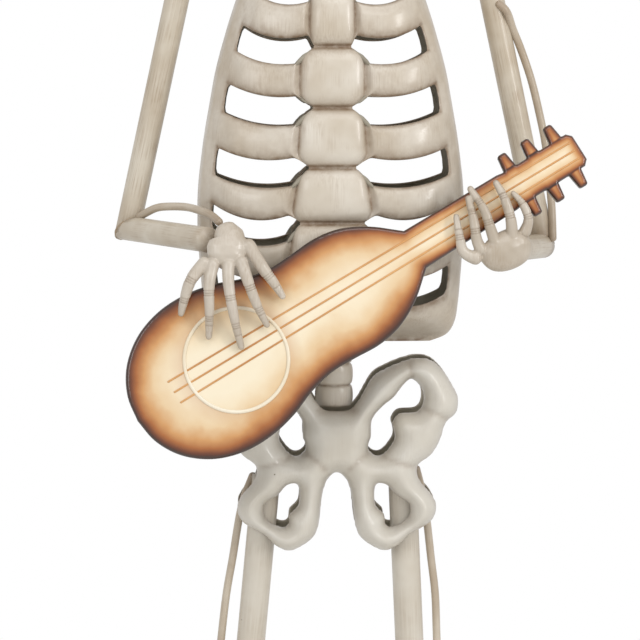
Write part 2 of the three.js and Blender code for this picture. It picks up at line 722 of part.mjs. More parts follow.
function hand({ palm, fingers }) {
  return joined([palmOf(palm), ...fingers.map((finger) => limb(finger, 5, finger.length - 1))]);
}

function grownLimb(stations, growth) {
  return stations.map(([x, y, z, wide, deep]) => [x, y, z, wide + growth, deep + growth]);
}

for (const side of [RIGHT, LEFT]) addPiece(`hand_${side.name}`, hand(side));

function cutTube(from, to, radius, cut) {
  const geometry = tube(from, to, radius);
  const place = geometry.attributes.position;
  const direction = new THREE.Vector3(...to).sub(new THREE.Vector3(...from)).normalize();
  const middle = new THREE.Vector3(...from).add(new THREE.Vector3(...to)).multiplyScalar(0.5);
  const point = new THREE.Vector3();
  for (let k = 0; k < place.count; k += 1) {
    point.fromBufferAttribute(place, k);
    const towardsCut = point.clone().sub(middle).dot(direction) > 0;
    if (towardsCut) {
      const short = cut.distanceToPoint(point) / cut.normal.dot(direction);
      point.addScaledVector(direction, -short);
      place.setXYZ(k, point.x, point.y, point.z);
    }
  }
  return geometry;
}

// The right elbow is a mitre between its two tubes
const rightElbow = new THREE.Vector3(...RIGHT.elbow);
const towardsShoulder = new THREE.Vector3(...RIGHT.shoulder).sub(rightElbow).normalize();
const towardsWrist = new THREE.Vector3(...RIGHT.wrist).sub(rightElbow).normalize();
const mitreNormal = towardsShoulder.clone().sub(towardsWrist).normalize();
const mitre = (offset) => new THREE.Plane().setFromNormalAndCoplanarPoint(
  mitreNormal, rightElbow.clone().addScaledVector(mitreNormal, offset),
);
const rightUpperArm = cutTube(RIGHT.shoulder, RIGHT.elbow, ARM_TUBE_RADIUS, mitre(GAP / 2));
addPiece('upper_arm_right', cutBy(rightUpperArm, [fatCollar]));
const rightForearm = cutTube(RIGHT.wrist, RIGHT.elbow, ARM_TUBE_RADIUS, mitre(-GAP / 2));
const fatRightPalm = palmOf(grownLimb(RIGHT.palm, GAP));
addPiece('forearm_right', cutBy(rightForearm, [fatRightPalm]));

// At the left elbow the upper arm is saddled onto the forearm
const leftForearm = (radius) => tube(LEFT.elbow, LEFT.wrist, radius);
const leftUpperArm = tube(LEFT.shoulder, LEFT.elbow, ARM_TUBE_RADIUS);
addPiece('upper_arm_left', cutBy(leftUpperArm, [fatCollar, leftForearm(ARM_TUBE_RADIUS + GAP)]));
const fatLeftPalm = palmOf(grownLimb(LEFT.palm, GAP));
addPiece('forearm_left', cutBy(leftForearm(ARM_TUBE_RADIUS), [fatLeftPalm]));

addPiece('forearm_rod_right', cutBy(boneRod(ROD_RIGHT_FOREARM), [
  tube(RIGHT.shoulder, RIGHT.elbow, ARM_TUBE_RADIUS + GAP),
  tube(RIGHT.wrist, RIGHT.elbow, ARM_TUBE_RADIUS + GAP),
  fatRightPalm,
]));
addPiece('upper_arm_rod_left', cutBy(boneRod(ROD_LEFT_ARM), [
  tube(LEFT.shoulder, LEFT.elbow, ARM_TUBE_RADIUS + GAP),
  leftForearm(ARM_TUBE_RADIUS + GAP),
]));

// Guitar

function guitarOutline(withPegs) {
  const curve = new THREE.SplineCurve(GUITAR_OUTLINE.map((p) => new THREE.Vector2(...p)));
  const half = curve.getSpacedPoints(GUITAR_OUTLINE.length);
  const head = HEADSTOCK;
  half.push(new THREE.Vector2(head.start - head.neckRun, NECK_HALF_WIDTH));
  if (!withPegs) half.push(new THREE.Vector2(head.start, head.half));
  for (const place of withPegs ? TUNING_PEGS.places : []) {
    half.push(new THREE.Vector2(place - TUNING_PEGS.base, head.half));
    half.push(new THREE.Vector2(place - TUNING_PEGS.tip, TUNING_PEGS.reach));
    half.push(new THREE.Vector2(place + TUNING_PEGS.tip, TUNING_PEGS.reach));
    half.push(new THREE.Vector2(place + TUNING_PEGS.base, head.half));
  }
  half.push(new THREE.Vector2(head.end - head.corner, head.half));
  half.push(new THREE.Vector2(head.end, head.half - head.corner));
  const other = half.slice(1).reverse().map((p) => new THREE.Vector2(p.x, -p.y));
  return [...other, ...half];
}

const SHARPEST_MITRE = 0.5;

function inset(points, amount) {
  return points.map((p, k) => {
    const before = points[(k + points.length - 1) % points.length];
    const after = points[(k + 1) % points.length];
    const a = p.clone().sub(before).normalize();
    const b = after.clone().sub(p).normalize();
    const normal = new THREE.Vector2(a.y + b.y, -a.x - b.x).normalize();
    const share = Math.max(normal.dot(new THREE.Vector2(a.y, -a.x)), SHARPEST_MITRE);
    return p.clone().addScaledVector(normal, amount / share);
  });
}

function guitar() {
  const { depth, wall, ring } = GUITAR;
  const flat = { steps: 1, bevelEnabled: false };
  const body = new THREE.ExtrudeGeometry(new THREE.Shape(guitarOutline(true)), { ...flat, depth });
  body.translate(0, 0, -depth);
  const cavity = new THREE.Shape(inset(guitarOutline(false), wall));
  const hollow = new THREE.ExtrudeGeometry(cavity, { ...flat, depth });
  hollow.translate(0, 0, -depth - wall);
  const inner = ring.radius - ring.width / 2;
  const outerEdge = ring.radius + ring.width / 2;
  const ringProfile = [
    [inner, -wall / 2], [outerEdge, -wall / 2], [ring.radius + ring.crown / 2, ring.height],
    [ring.radius - ring.crown / 2, ring.height], [inner, -wall / 2],
  ].map((p) => new THREE.Vector2(...p));
  const bead = new THREE.LatheGeometry(ringProfile, 18);
  bead.rotateX(Math.PI / 2);
  const strings = [-1, 0, 1].map((k) => {
    const start = new THREE.Vector3(STRINGS.start, STRING_DRIFT + k * STRINGS.startSpacing, 0);
    const end = new THREE.Vector3(STRINGS.end, k * STRINGS.endSpacing, 0);
    const length = start.distanceTo(end);
    const bar = new THREE.BoxGeometry(length, STRINGS.width, 2 * STRINGS.height);
    bar.rotateZ(Math.atan2(end.y - start.y, end.x - start.x));
    bar.translate(...start.add(end).multiplyScalar(0.5).toArray());
    return bar;
  });
  return joined([cutBy(bareMerged(body), [bareMerged(hollow)]), facingOut(bareMerged(bead)), ...strings]);
}

const guitarPlace = new THREE.Group();
guitarPlace.position.set(...GUITAR.centre);
guitarPlace.rotation.set(
  THREE.MathUtils.degToRad(90 - GUITAR.leanBack), 0, THREE.MathUtils.degToRad(GUITAR.neckAngle),
);
figure.add(guitarPlace);
addPiece('guitar', guitar(), sunburstPaint, guitarPlace);

// Legs

for (const side of [RIGHT, LEFT]) {
  const knee = (growth) => ball(side.knee, KNEE_RADII.map((radius) => radius + growth), 10, 5);
  addPiece(`knee_${side.name}`, knee(0));
  addPiece(`thigh_${side.name}`, cutBy(tube(side.hip, side.knee, THIGH_TUBE_RADIUS), [knee(GAP)]));
  const fatAnkle = tube([side.ankle[0], side.ankle[1], 0], side.ankle, ANKLE_RADIUS + GAP);
  const shin = tube(side.knee, side.ankle, SHIN_TUBE_RADIUS);
  addPiece(`shin_${side.name}`, cutBy(shin, [knee(GAP), fatAnkle]));
  const fatThigh = tube(side.hip, side.knee, THIGH_TUBE_RADIUS + GAP);
  const fatShin = tube(side.knee, side.ankle, SHIN_TUBE_RADIUS + GAP);
  const thighRod = side === RIGHT ? ROD_RIGHT_THIGH : ROD_LEFT_THIGH;
  const shinRod = side === RIGHT ? ROD_RIGHT_SHIN : ROD_LEFT_SHIN;
  addPiece(`thigh_rod_${side.name}`, cutBy(boneRod(thighRod), [fatThigh, knee(GAP)]));
  addPiece(`foot_${side.name}`, footOf(side));
  addPiece(`shin_rod_${side.name}`, cutBy(boneRod(shinRod), [fatShin, knee(GAP), fatAnkle]));
}

function footOf({ ankle, name }) {
  const side = name === 'right' ? -1 : 1;
  const [x, y, z] = ankle;
  const at = (out, forward, up) => [x + side * out, y - forward, up];
  const toes = TOE_PLACES.map((place) => limb(TOE.map(({ out, fan, forward, up, radius }, k) => {
    const short = k === TOE.length - 1 ? TOE_SHORTENING * Math.abs(place + 1) : 0;
    return [...at(out + place * fan, forward - short, up), radius];
  }), 5, TOE.length - 1));
  const heel = limb(HEEL.map(([out, forward, up, wide, high]) => [
    ...at(out, forward, up), wide, high,
  ]), 6, HEEL.length - 1);
  const block = tube([x, y, ANKLE_LOW], [x, y, z - GAP], ANKLE_RADIUS, 8);
  const floor = new THREE.BoxGeometry(BASE.width, BASE.depth, FLOOR_CUT);
  floor.translate(0, 0, BASE.thickness + GAP - FLOOR_CUT / 2);
  return cutBy(joined([heel, block, ...toes]), [bareMerged(floor)]);
}

// Base plate

function basePlate() {
  const { width, depth, thickness, corner } = BASE;
  const shape = new THREE.Shape();
  const [right, back] = [width / 2 - corner, depth / 2 - corner];
  shape.absarc(right, back, corner, 0, Math.PI / 2);
  shape.absarc(-right, back, corner, Math.PI / 2, Math.PI);
  shape.absarc(-right, -back, corner, Math.PI, 1.5 * Math.PI);
  shape.absarc(right, -back, corner, 1.5 * Math.PI, 2 * Math.PI);
  return bareMerged(new THREE.ExtrudeGeometry(shape, {
    depth: thickness, bevelEnabled: false, curveSegments: 2,
  }));
}

addPiece('base_plate', basePlate(), basePaint);

export default figure;
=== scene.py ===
# %% [markdown]
# # A metal skeleton that plays the guitar
#
# The real figure is a life-size garden ornament. Its ribcage, pelvis, skull and guitar are
# pressed from thin sheet steel, its limbs are lengths of round tube and rod, and its hands
# and feet are cast. Everything is welded together, sprayed in bone-white enamel and rubbed
# with a brown wash that stays behind in the creases.
#
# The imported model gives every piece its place. Here each piece is made again with the finish
# that shows from close by, and stands for the plain solid of the same piece.

# %% Load the frame
import math

import bmesh
import bpy
import numpy as np
from mathutils import Matrix, Vector, noise


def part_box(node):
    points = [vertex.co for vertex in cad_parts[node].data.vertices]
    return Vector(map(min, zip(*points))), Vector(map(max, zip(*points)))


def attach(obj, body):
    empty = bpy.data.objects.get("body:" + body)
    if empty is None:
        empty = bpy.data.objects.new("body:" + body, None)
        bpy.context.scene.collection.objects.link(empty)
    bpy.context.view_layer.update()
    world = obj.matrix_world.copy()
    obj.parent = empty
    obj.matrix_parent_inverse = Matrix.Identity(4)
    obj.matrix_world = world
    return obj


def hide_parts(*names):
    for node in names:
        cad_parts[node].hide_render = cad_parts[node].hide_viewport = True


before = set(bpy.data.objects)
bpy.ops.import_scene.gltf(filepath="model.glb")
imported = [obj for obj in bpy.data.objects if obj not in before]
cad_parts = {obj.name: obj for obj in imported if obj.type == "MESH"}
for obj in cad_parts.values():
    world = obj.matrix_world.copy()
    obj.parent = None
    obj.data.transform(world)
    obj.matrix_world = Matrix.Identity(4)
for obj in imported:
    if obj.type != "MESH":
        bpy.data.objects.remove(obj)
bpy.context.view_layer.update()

MM = 0.001

# %% [markdown]
# ## Helpers for shape
#
# All sizes below are in millimetres, as a maker would write them, and a mesh is scaled to
# metres once, when it becomes an object. Most pieces start as a flat grid of faces that is
# moved into its form, because a pressed sheet and a bent tube are both a flat grid that was
# pushed or rolled. A subdivided cube or a sculpted sphere would do it too, but a grid keeps
# its rows along the ribs and tubes, where the light shows them.

# %% Smooth curves through a few stations
def smooth(stations, places):
    """The height at each place of a smooth curve through [place, height] stations."""
    table = np.array(sorted(stations), float)
    x, y = table[:, 0], table[:, 1]
    places = np.clip(np.asarray(places, float), x[0], x[-1])
    padded_x = np.concatenate([[x[0]], x, [x[-1]]])
    padded_y = np.concatenate([[y[0]], y, [y[-1]]])
    slope = (padded_y[2:] - padded_y[:-2]) / (padded_x[2:] - padded_x[:-2])
    k = np.clip(np.searchsorted(x, places, side="right") - 1, 0, len(x) - 2)
    width = x[k + 1] - x[k]
    t = (places - x[k]) / width
    rise = y[k + 1] - y[k]
    bend = (1 - t) * (slope[k] * width - rise) - t * (slope[k + 1] * width - rise)
    return y[k] + rise * t + t * (1 - t) * bend


def through(points, count, closed=False):
    """Evenly spaced points on a smooth curve through a few points of any dimension."""
    points = np.array(points, float)
    if closed:
        knots = np.vstack([points[-1:], points, points[:2]])
    else:
        first = 2 * points[0] - points[1]
        last = 2 * points[-1] - points[-2]
        knots = np.vstack([first, points, last])
    fine = []
    for k in range(1, len(knots) - 2):
        p = knots[k - 1:k + 3]
        gaps = np.maximum(np.linalg.norm(np.diff(p, axis=0), axis=1) ** 0.5, 1e-6)
        leave = (p[1] - p[0]) / gaps[0] - (p[2] - p[0]) / (gaps[0] + gaps[1]) + (p[2] - p[1]) / gaps[1]
        arrive = (p[2] - p[1]) / gaps[1] - (p[3] - p[1]) / (gaps[1] + gaps[2]) + (p[3] - p[2]) / gaps[2]
        leave, arrive = leave * gaps[1], arrive * gaps[1]
        for t in np.linspace(0, 1, 24, endpoint=False):
            fine.append(p[1] * (1 + 2 * t) * (1 - t) ** 2 + p[2] * (3 - 2 * t) * t * t
                        + leave * t * (1 - t) ** 2 + arrive * (t - 1) * t * t)
    fine.append(knots[-2])
    fine = np.array(fine)
    run = np.concatenate([[0], np.cumsum(np.linalg.norm(np.diff(fine, axis=0), axis=1))])
    wanted = np.linspace(0, run[-1], count, endpoint=not closed)
    return np.stack([np.interp(wanted, run, fine[:, axis]) for axis in range(fine.shape[1])], 1)


def step(low, high, value):
    """0 below low, 1 above high and a smooth rise between."""
    t = np.clip((np.asarray(value, float) - low) / (high - low), 0, 1)
    return t * t * (3 - 2 * t)


print("a curve through 3 stations:", smooth([[0, 0], [1, 2], [2, 0]], [0.5, 1, 1.5]).round(2))

# %% From a grid to a finished object
def grid(across, up):
    """A flat grid, with its vertices ordered row by row from the low corner."""
    mesh = bmesh.new()
    bmesh.ops.create_grid(mesh, x_segments=across, y_segments=up, size=0.5)
    mesh.verts.ensure_lookup_table()
    mesh.faces.ensure_lookup_table()
    return mesh


def set_places(mesh, places):
    for vert, place in zip(mesh.verts, places):
        vert.co = place


def set_values(mesh, name, values):
    """A number on each vertex, which a material can read by name."""
    layer = mesh.verts.layers.float.get(name) or mesh.verts.layers.float.new(name)
    for vert, value in zip(mesh.verts, values):
        vert[layer] = float(value)


def set_uv(mesh, flat):
    """Unrolled places in metres, one for each vertex, kept on the corners of the faces."""
    layer = mesh.loops.layers.uv.new("unrolled")
    for face in mesh.faces:
        for corner in face.loops:
            corner[layer].uv = flat[corner.vert.index]


def weld_seams(mesh, distance=1e-4):
    bmesh.ops.remove_doubles(mesh, verts=mesh.verts, dist=distance)
    bmesh.ops.recalc_face_normals(mesh, faces=mesh.faces)


def close_ends(mesh):
    open_edges = [edge for edge in mesh.edges if edge.is_boundary]
    bmesh.ops.holes_fill(mesh, edges=open_edges, sides=0)
    bmesh.ops.recalc_face_normals(mesh, faces=mesh.faces)


def finished(mesh, name, materials, stands_for=(), smooth_faces=True):
    """The mesh as an object in metres that rides on the figure."""
    bmesh.ops.scale(mesh, vec=(MM, MM, MM), verts=mesh.verts)
    data = bpy.data.meshes.new(name)
    mesh.to_mesh(data)
    mesh.free()
    data.polygons.foreach_set("use_smooth", [smooth_faces] * len(data.polygons))
    for material in materials:
        data.materials.append(material)
    piece = bpy.data.objects.new(name, data)
    bpy.context.scene.collection.objects.link(piece)
    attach(piece, "root")
    if stands_for:
        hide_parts(*stands_for)
    print(f"{name}: {len(data.polygons)} faces")
    return piece


def add_subdivision(piece, levels=1):
    modifier = piece.modifiers.new("round", "SUBSURF")
    modifier.levels = modifier.render_levels = levels


def add_thickness(piece, thickness, inner_slot=0, rim_slot=0):
    modifier = piece.modifiers.new("sheet", "SOLIDIFY")
    modifier.thickness = thickness * MM
    modifier.offset = -1
    modifier.use_even_offset = False
    modifier.material_offset = inner_slot
    modifier.material_offset_rim = rim_slot


# %% [markdown]
# ## Helpers for finish
#
# A material is a small graph of nodes. One function adds a node, sets what is fixed and
# links what comes from another node, so that a graph reads from top to bottom. Colours are
# written as the sRGB hex values that a paint card shows, and one function turns them linear.

# %% Colours and nodes
def linear(hex_colour):
    """sRGB hex, such as d6cfc2, to the linear RGBA that a socket takes."""
    values = [int(hex_colour[k:k + 2], 16) / 255 for k in (0, 2, 4)]
    return [v / 12.92 if v <= 0.04045 else ((v + 0.055) / 1.055) ** 2.4 for v in values] + [1.0]


def add_node(tree, kind, inputs=None, **settings):
    """A node with its settings; an input is a number or a socket to link from."""
    made = tree.nodes.new(kind)
    for name, value in settings.items():
        setattr(made, name, value)
    for name, value in (inputs or {}).items():
        if isinstance(value, bpy.types.NodeSocket):
            tree.links.new(value, made.inputs[name])
        else:
            made.inputs[name].default_value = value
    return made


def new_material(name):
    material = bpy.data.materials.new(name)
    material.use_nodes = True
    tree = material.node_tree
    tree.nodes.clear()
    return material, tree


def blended(tree, share, first, second, kind="MIX"):
    """One colour laid over another by a share from 0 to 1."""
    made = add_node(tree, "ShaderNodeMix", data_type="RGBA", blend_type=kind)
    for socket, value in ((made.inputs[0], share), (made.inputs[6], first), (made.inputs[7], second)):
        if isinstance(value, bpy.types.NodeSocket):
            tree.links.new(value, socket)
        else:
            socket.default_value = value
    return made.outputs[2]


def spread(tree, value, low, high, to_low=0.0, to_high=1.0):
    """A value brought from one range to another, and kept inside it."""
    made = add_node(tree, "ShaderNodeMapRange", {
        "Value": value, "From Min": low, "From Max": high, "To Min": to_low, "To Max": to_high,
    })
    return made.outputs["Result"]


def cloudy(tree, place, size_mm, detail=4.0, roughness=0.55, stretch=(1, 1, 1)):
    """Noise whose patches are size_mm wide, pulled longer along an axis by stretch."""
    scaled = add_node(tree, "ShaderNodeMapping", {
        "Vector": place, "Scale": [1 / (size_mm * MM * s) for s in stretch],
    }).outputs["Vector"]
    return add_node(tree, "ShaderNodeTexNoise", {
        "Vector": scaled, "Scale": 1.0, "Detail": detail, "Roughness": roughness,
    }).outputs["Fac"]


print("bone white in linear light:", [round(v, 3) for v in linear("d3cabb")])

# %% [markdown]
# ## Bone-white enamel with a brown wash and painted shade
#
# On the real figure this is sprayed alkyd enamel over steel. When it was dry, a thin brown
# glaze was brushed over it and wiped off again, so it stays in creases and leaves fine
# brush streaks. The enamel is smooth and fairly glossy, with small dents of the sheet under
# it. Painted pictures of the wash would not survive another view, so the wash is a number
# on each vertex, high in the creases, and noise breaks up its edge. That number also darkens
# the rolled edges and the lower edges of the ribs, so it is partly the brown wash and partly
# painted shade.

# %% Enamel for pressed sheet and castings
def bone_enamel(name, light="d6cec1", dark="c2b6a4", glaze_and_shade="86705a", streaks="OBJECT",
                streak_share=0.35, dents=0.12, roughness=0.34):
    material, tree = new_material(name)
    coordinates = add_node(tree, "ShaderNodeTexCoord")
    place = coordinates.outputs["Object"]
    patches = cloudy(tree, place, 70, detail=3)
    mottled = blended(tree, spread(tree, patches, 0.35, 0.65), linear(light), linear(dark))
    if streaks == "OBJECT":
        # Brush marks 1.6 mm wide and 40 mm long, up and down the sheet
        marks = cloudy(tree, place, 1.6, detail=2, stretch=(1, 1, 25))
    else:
        # The same marks along a tube, on its own unrolled surface
        marks = cloudy(tree, coordinates.outputs["UV"], 1.5, detail=2, stretch=(1, 40, 1))
    veil = cloudy(tree, place, 28, detail=3)
    marked = add_node(tree, "ShaderNodeMath", {
        0: spread(tree, marks, 0.42, 0.68), 1: spread(tree, veil, 0.4, 0.65), }, operation="MULTIPLY")
    streaked = add_node(tree, "ShaderNodeMath", {0: marked.outputs[0], 1: streak_share}, operation="MULTIPLY")
    brushed = blended(tree, streaked.outputs[0], mottled, linear("a08c74"))
    # The crease number darkens towards the glaze colour: partly the brown wash, partly painted shade
    wash = add_node(tree, "ShaderNodeAttribute", attribute_name="wash").outputs["Fac"]
    broken = cloudy(tree, place, 9, detail=5, roughness=0.65)
    held = add_node(tree, "ShaderNodeMath", {0: wash, 1: spread(tree, broken, 0.3, 0.6, 0.45, 1.0)},
                    operation="MULTIPLY")
    washed_and_shaded = blended(tree, held.outputs[0], brushed, linear(glaze_and_shade))
    # Pin holes in the paint, about one in each 30 mm
    pits = add_node(tree, "ShaderNodeTexVoronoi", {"Vector": place, "Scale": 1 / (30 * MM)})
    pit = spread(tree, pits.outputs["Distance"], 0.018, 0.03, 1.0, 0.0)
    pitted = blended(tree, pit, washed_and_shaded, linear("6b5a48"))
    sheet_dents = cloudy(tree, place, 24, detail=2)
    paint_grain = cloudy(tree, place, 2.2, detail=3)
    height = add_node(tree, "ShaderNodeMath", {0: paint_grain, 1: 0.06}, operation="MULTIPLY")
    heights = add_node(tree, "ShaderNodeMath", {0: sheet_dents, 1: height.outputs[0]}, operation="ADD")
    bump = add_node(tree, "ShaderNodeBump", {
        "Strength": dents, "Distance": 0.004, "Height": heights.outputs[0],
    })
    shader = add_node(tree, "ShaderNodeBsdfPrincipled", {
        "Base Color": pitted,
        "Roughness": spread(tree, veil, 0.3, 0.7, roughness - 0.06, roughness + 0.1),
        "Normal": bump.outputs["Normal"],
        "IOR": 1.5,
        "Coat Weight": 0.25,
        "Coat Roughness": 0.12,
    })
    add_node(tree, "ShaderNodeOutputMaterial", {"Surface": shader.outputs[0]})
    return material


pressed_enamel = bone_enamel("pressed_enamel")
pelvis_enamel = bone_enamel("pelvis_enamel", light="d3cec4", dark="c6bfb2", streak_share=0.12)
cast_enamel = bone_enamel("cast_enamel", light="cfc6b9", dark="b5a998", streak_share=0.45, dents=0.3)
tube_enamel = bone_enamel("tube_enamel", light="cfc6b6", dark="b9ab96", streaks="UV",
                          streak_share=0.75, dents=0.1)
rod_enamel = bone_enamel("rod_enamel", light="c4b8a6", dark="a99882", streaks="UV",
                         streak_share=0.6, dents=0.1)
thigh_enamel = bone_enamel("thigh_enamel", light="cfc8bb", dark="c2b8a8", streaks="UV",
                           streak_share=0.3, dents=0.1)
weld_enamel = bone_enamel("weld_enamel", light="b5a690", dark="93795a", streak_share=0.2, dents=0.3)
print("enamels made: 7")

# %% Painted shade on the inside of the shells
def inside_painted_shade():
    """The inner faces are the same enamel darkened to a flat grey-brown, as painted shade."""
    material, tree = new_material("inside_painted_shade")
    place = add_node(tree, "ShaderNodeTexCoord").outputs["Object"]
    patches = cloudy(tree, place, 40, detail=4)
    colour = blended(tree, spread(tree, patches, 0.35, 0.65), linear("9c9585"), linear("857d6e"))
    shader = add_node(tree, "ShaderNodeBsdfPrincipled", {"Base Color": colour, "Roughness": 0.6})
    add_node(tree, "ShaderNodeOutputMaterial", {"Surface": shader.outputs[0]})
    return material


# Grey-brown painted shade for the inner faces of the shells and of the guitar
inside = inside_painted_shade()

# %% [markdown]
# ## Camera
#
# The photograph was taken from breast height, a little to the figure's right, with a long
# lens. The camera comes first because every later look is judged through it.

# %% Camera
CAMERA_PLACE = (-69, -2500, 1217)
CAMERA_AIM = (-11, 0, 988)
SENSOR = 36.0
FRAME_MM = 665.0  # width of what the photograph takes in, at the figure

camera_data = bpy.data.cameras.new("camera")
camera = bpy.data.objects.new("camera", camera_data)
bpy.context.scene.collection.objects.link(camera)
towards = Vector(CAMERA_AIM) - Vector(CAMERA_PLACE)
camera.location = Vector(CAMERA_PLACE) * MM
camera.rotation_mode = "QUATERNION"
camera.rotation_quaternion = towards.to_track_quat("-Z", "Y")
camera_data.sensor_width = SENSOR
camera_data.lens = SENSOR * towards.length / FRAME_MM
camera_data.clip_end = 50
bpy.context.scene.camera = camera
print("lens in millimetres:", round(camera_data.lens, 1))

# %% [markdown]
# ## Ribcage
#
# Two shells, front and back, each pressed in one die from one sheet with the gaps between
# the ribs punched out. A grid whose rows run along the ribs takes that form directly: each
# row belongs to one rib, the columns belong to the breastbone, the rib or the side strip,
# and the faces that fall in a gap are deleted. Cutting the gaps with a boolean would leave
# ragged edges where the light is sharpest.

# %% Sizes of the ribcage
GAP = 0.3
SHEET = 2.0
RIB_OUTLINE = [
    [966, 104], [972, 120], [985, 129], [1004, 132.5], [1038, 135.5], [1088, 138.5], [1128, 137.5],
    [1171, 132.5], [1204, 127], [1253, 117.5], [1318, 98], [1365, 79], [1400, 59], [1422, 41],
]
CHEST_DEPTH = [
    [966, 3], [972, 4], [983, 30], [996, 52], [1030, 64], [1100, 68], [1250, 68], [1330, 60],
    [1400, 40], [1422, 14],
]
BACK_DEPTH_SHARE = 0.92
CHEST_SQUARENESS = 2.7
SIDE_RAIL = 16
# Each gap: its inner tip, half width of the breastbone there, then the middle and the outer end
# above the tip, its half opening, and the swell of the bead below it
RIB_GAPS = [
    [1385, 15, -3, 6, 8, 4], [1329, 18, -5, 10, 12.5, 4], [1269, 19, -4.5, 10, 12.5, 13],
    [1208, 20, -3.5, 10.5, 14, 11.5], [1148, 24, -6.5, 6.5, 13.5, 9], [1092, 33, -10, 7, 12.5, 7],
    [1036, 37, -15, -1.5, 14.5, 0],
]
CREASE = 2.4
RIB_ROUND = 8
BEAD_ROUND = 11
BEND_PLACE = 0.45
RIB_RUN = 85  # usual length of a gap, from its tip to the side strip
SHOULDER = 11  # a bead reaches its full width this far from its creases
RIB_TOP, RIB_BOTTOM = RIB_OUTLINE[-1][0], RIB_OUTLINE[0][0]
COLUMNS = {"bone": 14, "rib": 30, "rail": 7}  # grid columns to each part of one half
ROWS_PER_RIB = 14


# %% One ribcage shell
def gap_line(gap, share, side, swell):
    """Height of a gap's lower (side -1) or upper (side 1) edge at each share of the way out."""
    tip, _, middle, outer, half, _ = gap
    bend = (middle - outer * BEND_PLACE) / (BEND_PLACE * (1 - BEND_PLACE))
    line = tip + outer * share + bend * share * (1 - share)
    # The gap opens along the slanting shoulder of the bead beside it
    out = np.minimum(share * RIB_RUN / (swell + 2), 1)
    opening = 1 - (1 - out) ** 1.35
    return line + side * (CREASE / 2 + (half - CREASE / 2) * opening)


def column_layout():
    """Part and share of each column, counted from the middle outwards."""
    parts, shares = [], []
    for part, count in COLUMNS.items():
        first = 0 if part == "bone" else 1
        for k in range(first, count + 1):
            parts.append(part)
            # Rib columns crowd near the breastbone, where the gaps open
            shares.append((k / count) ** 1.6 if part == "rib" else k / count)
    return parts, np.array(shares)


def row_layout():
    """Rib number and place in the rib (0 at its top) of each row, from low to high."""
    rows = []
    for band in range(len(RIB_GAPS), -1, -1):
        for k in range(ROWS_PER_RIB, -1, -1):
            # Rows crowd towards a rib's edges, where the sheet turns in
            rows.append((band, 0.5 - 0.5 * math.cos(math.pi * k / ROWS_PER_RIB)))
    return rows


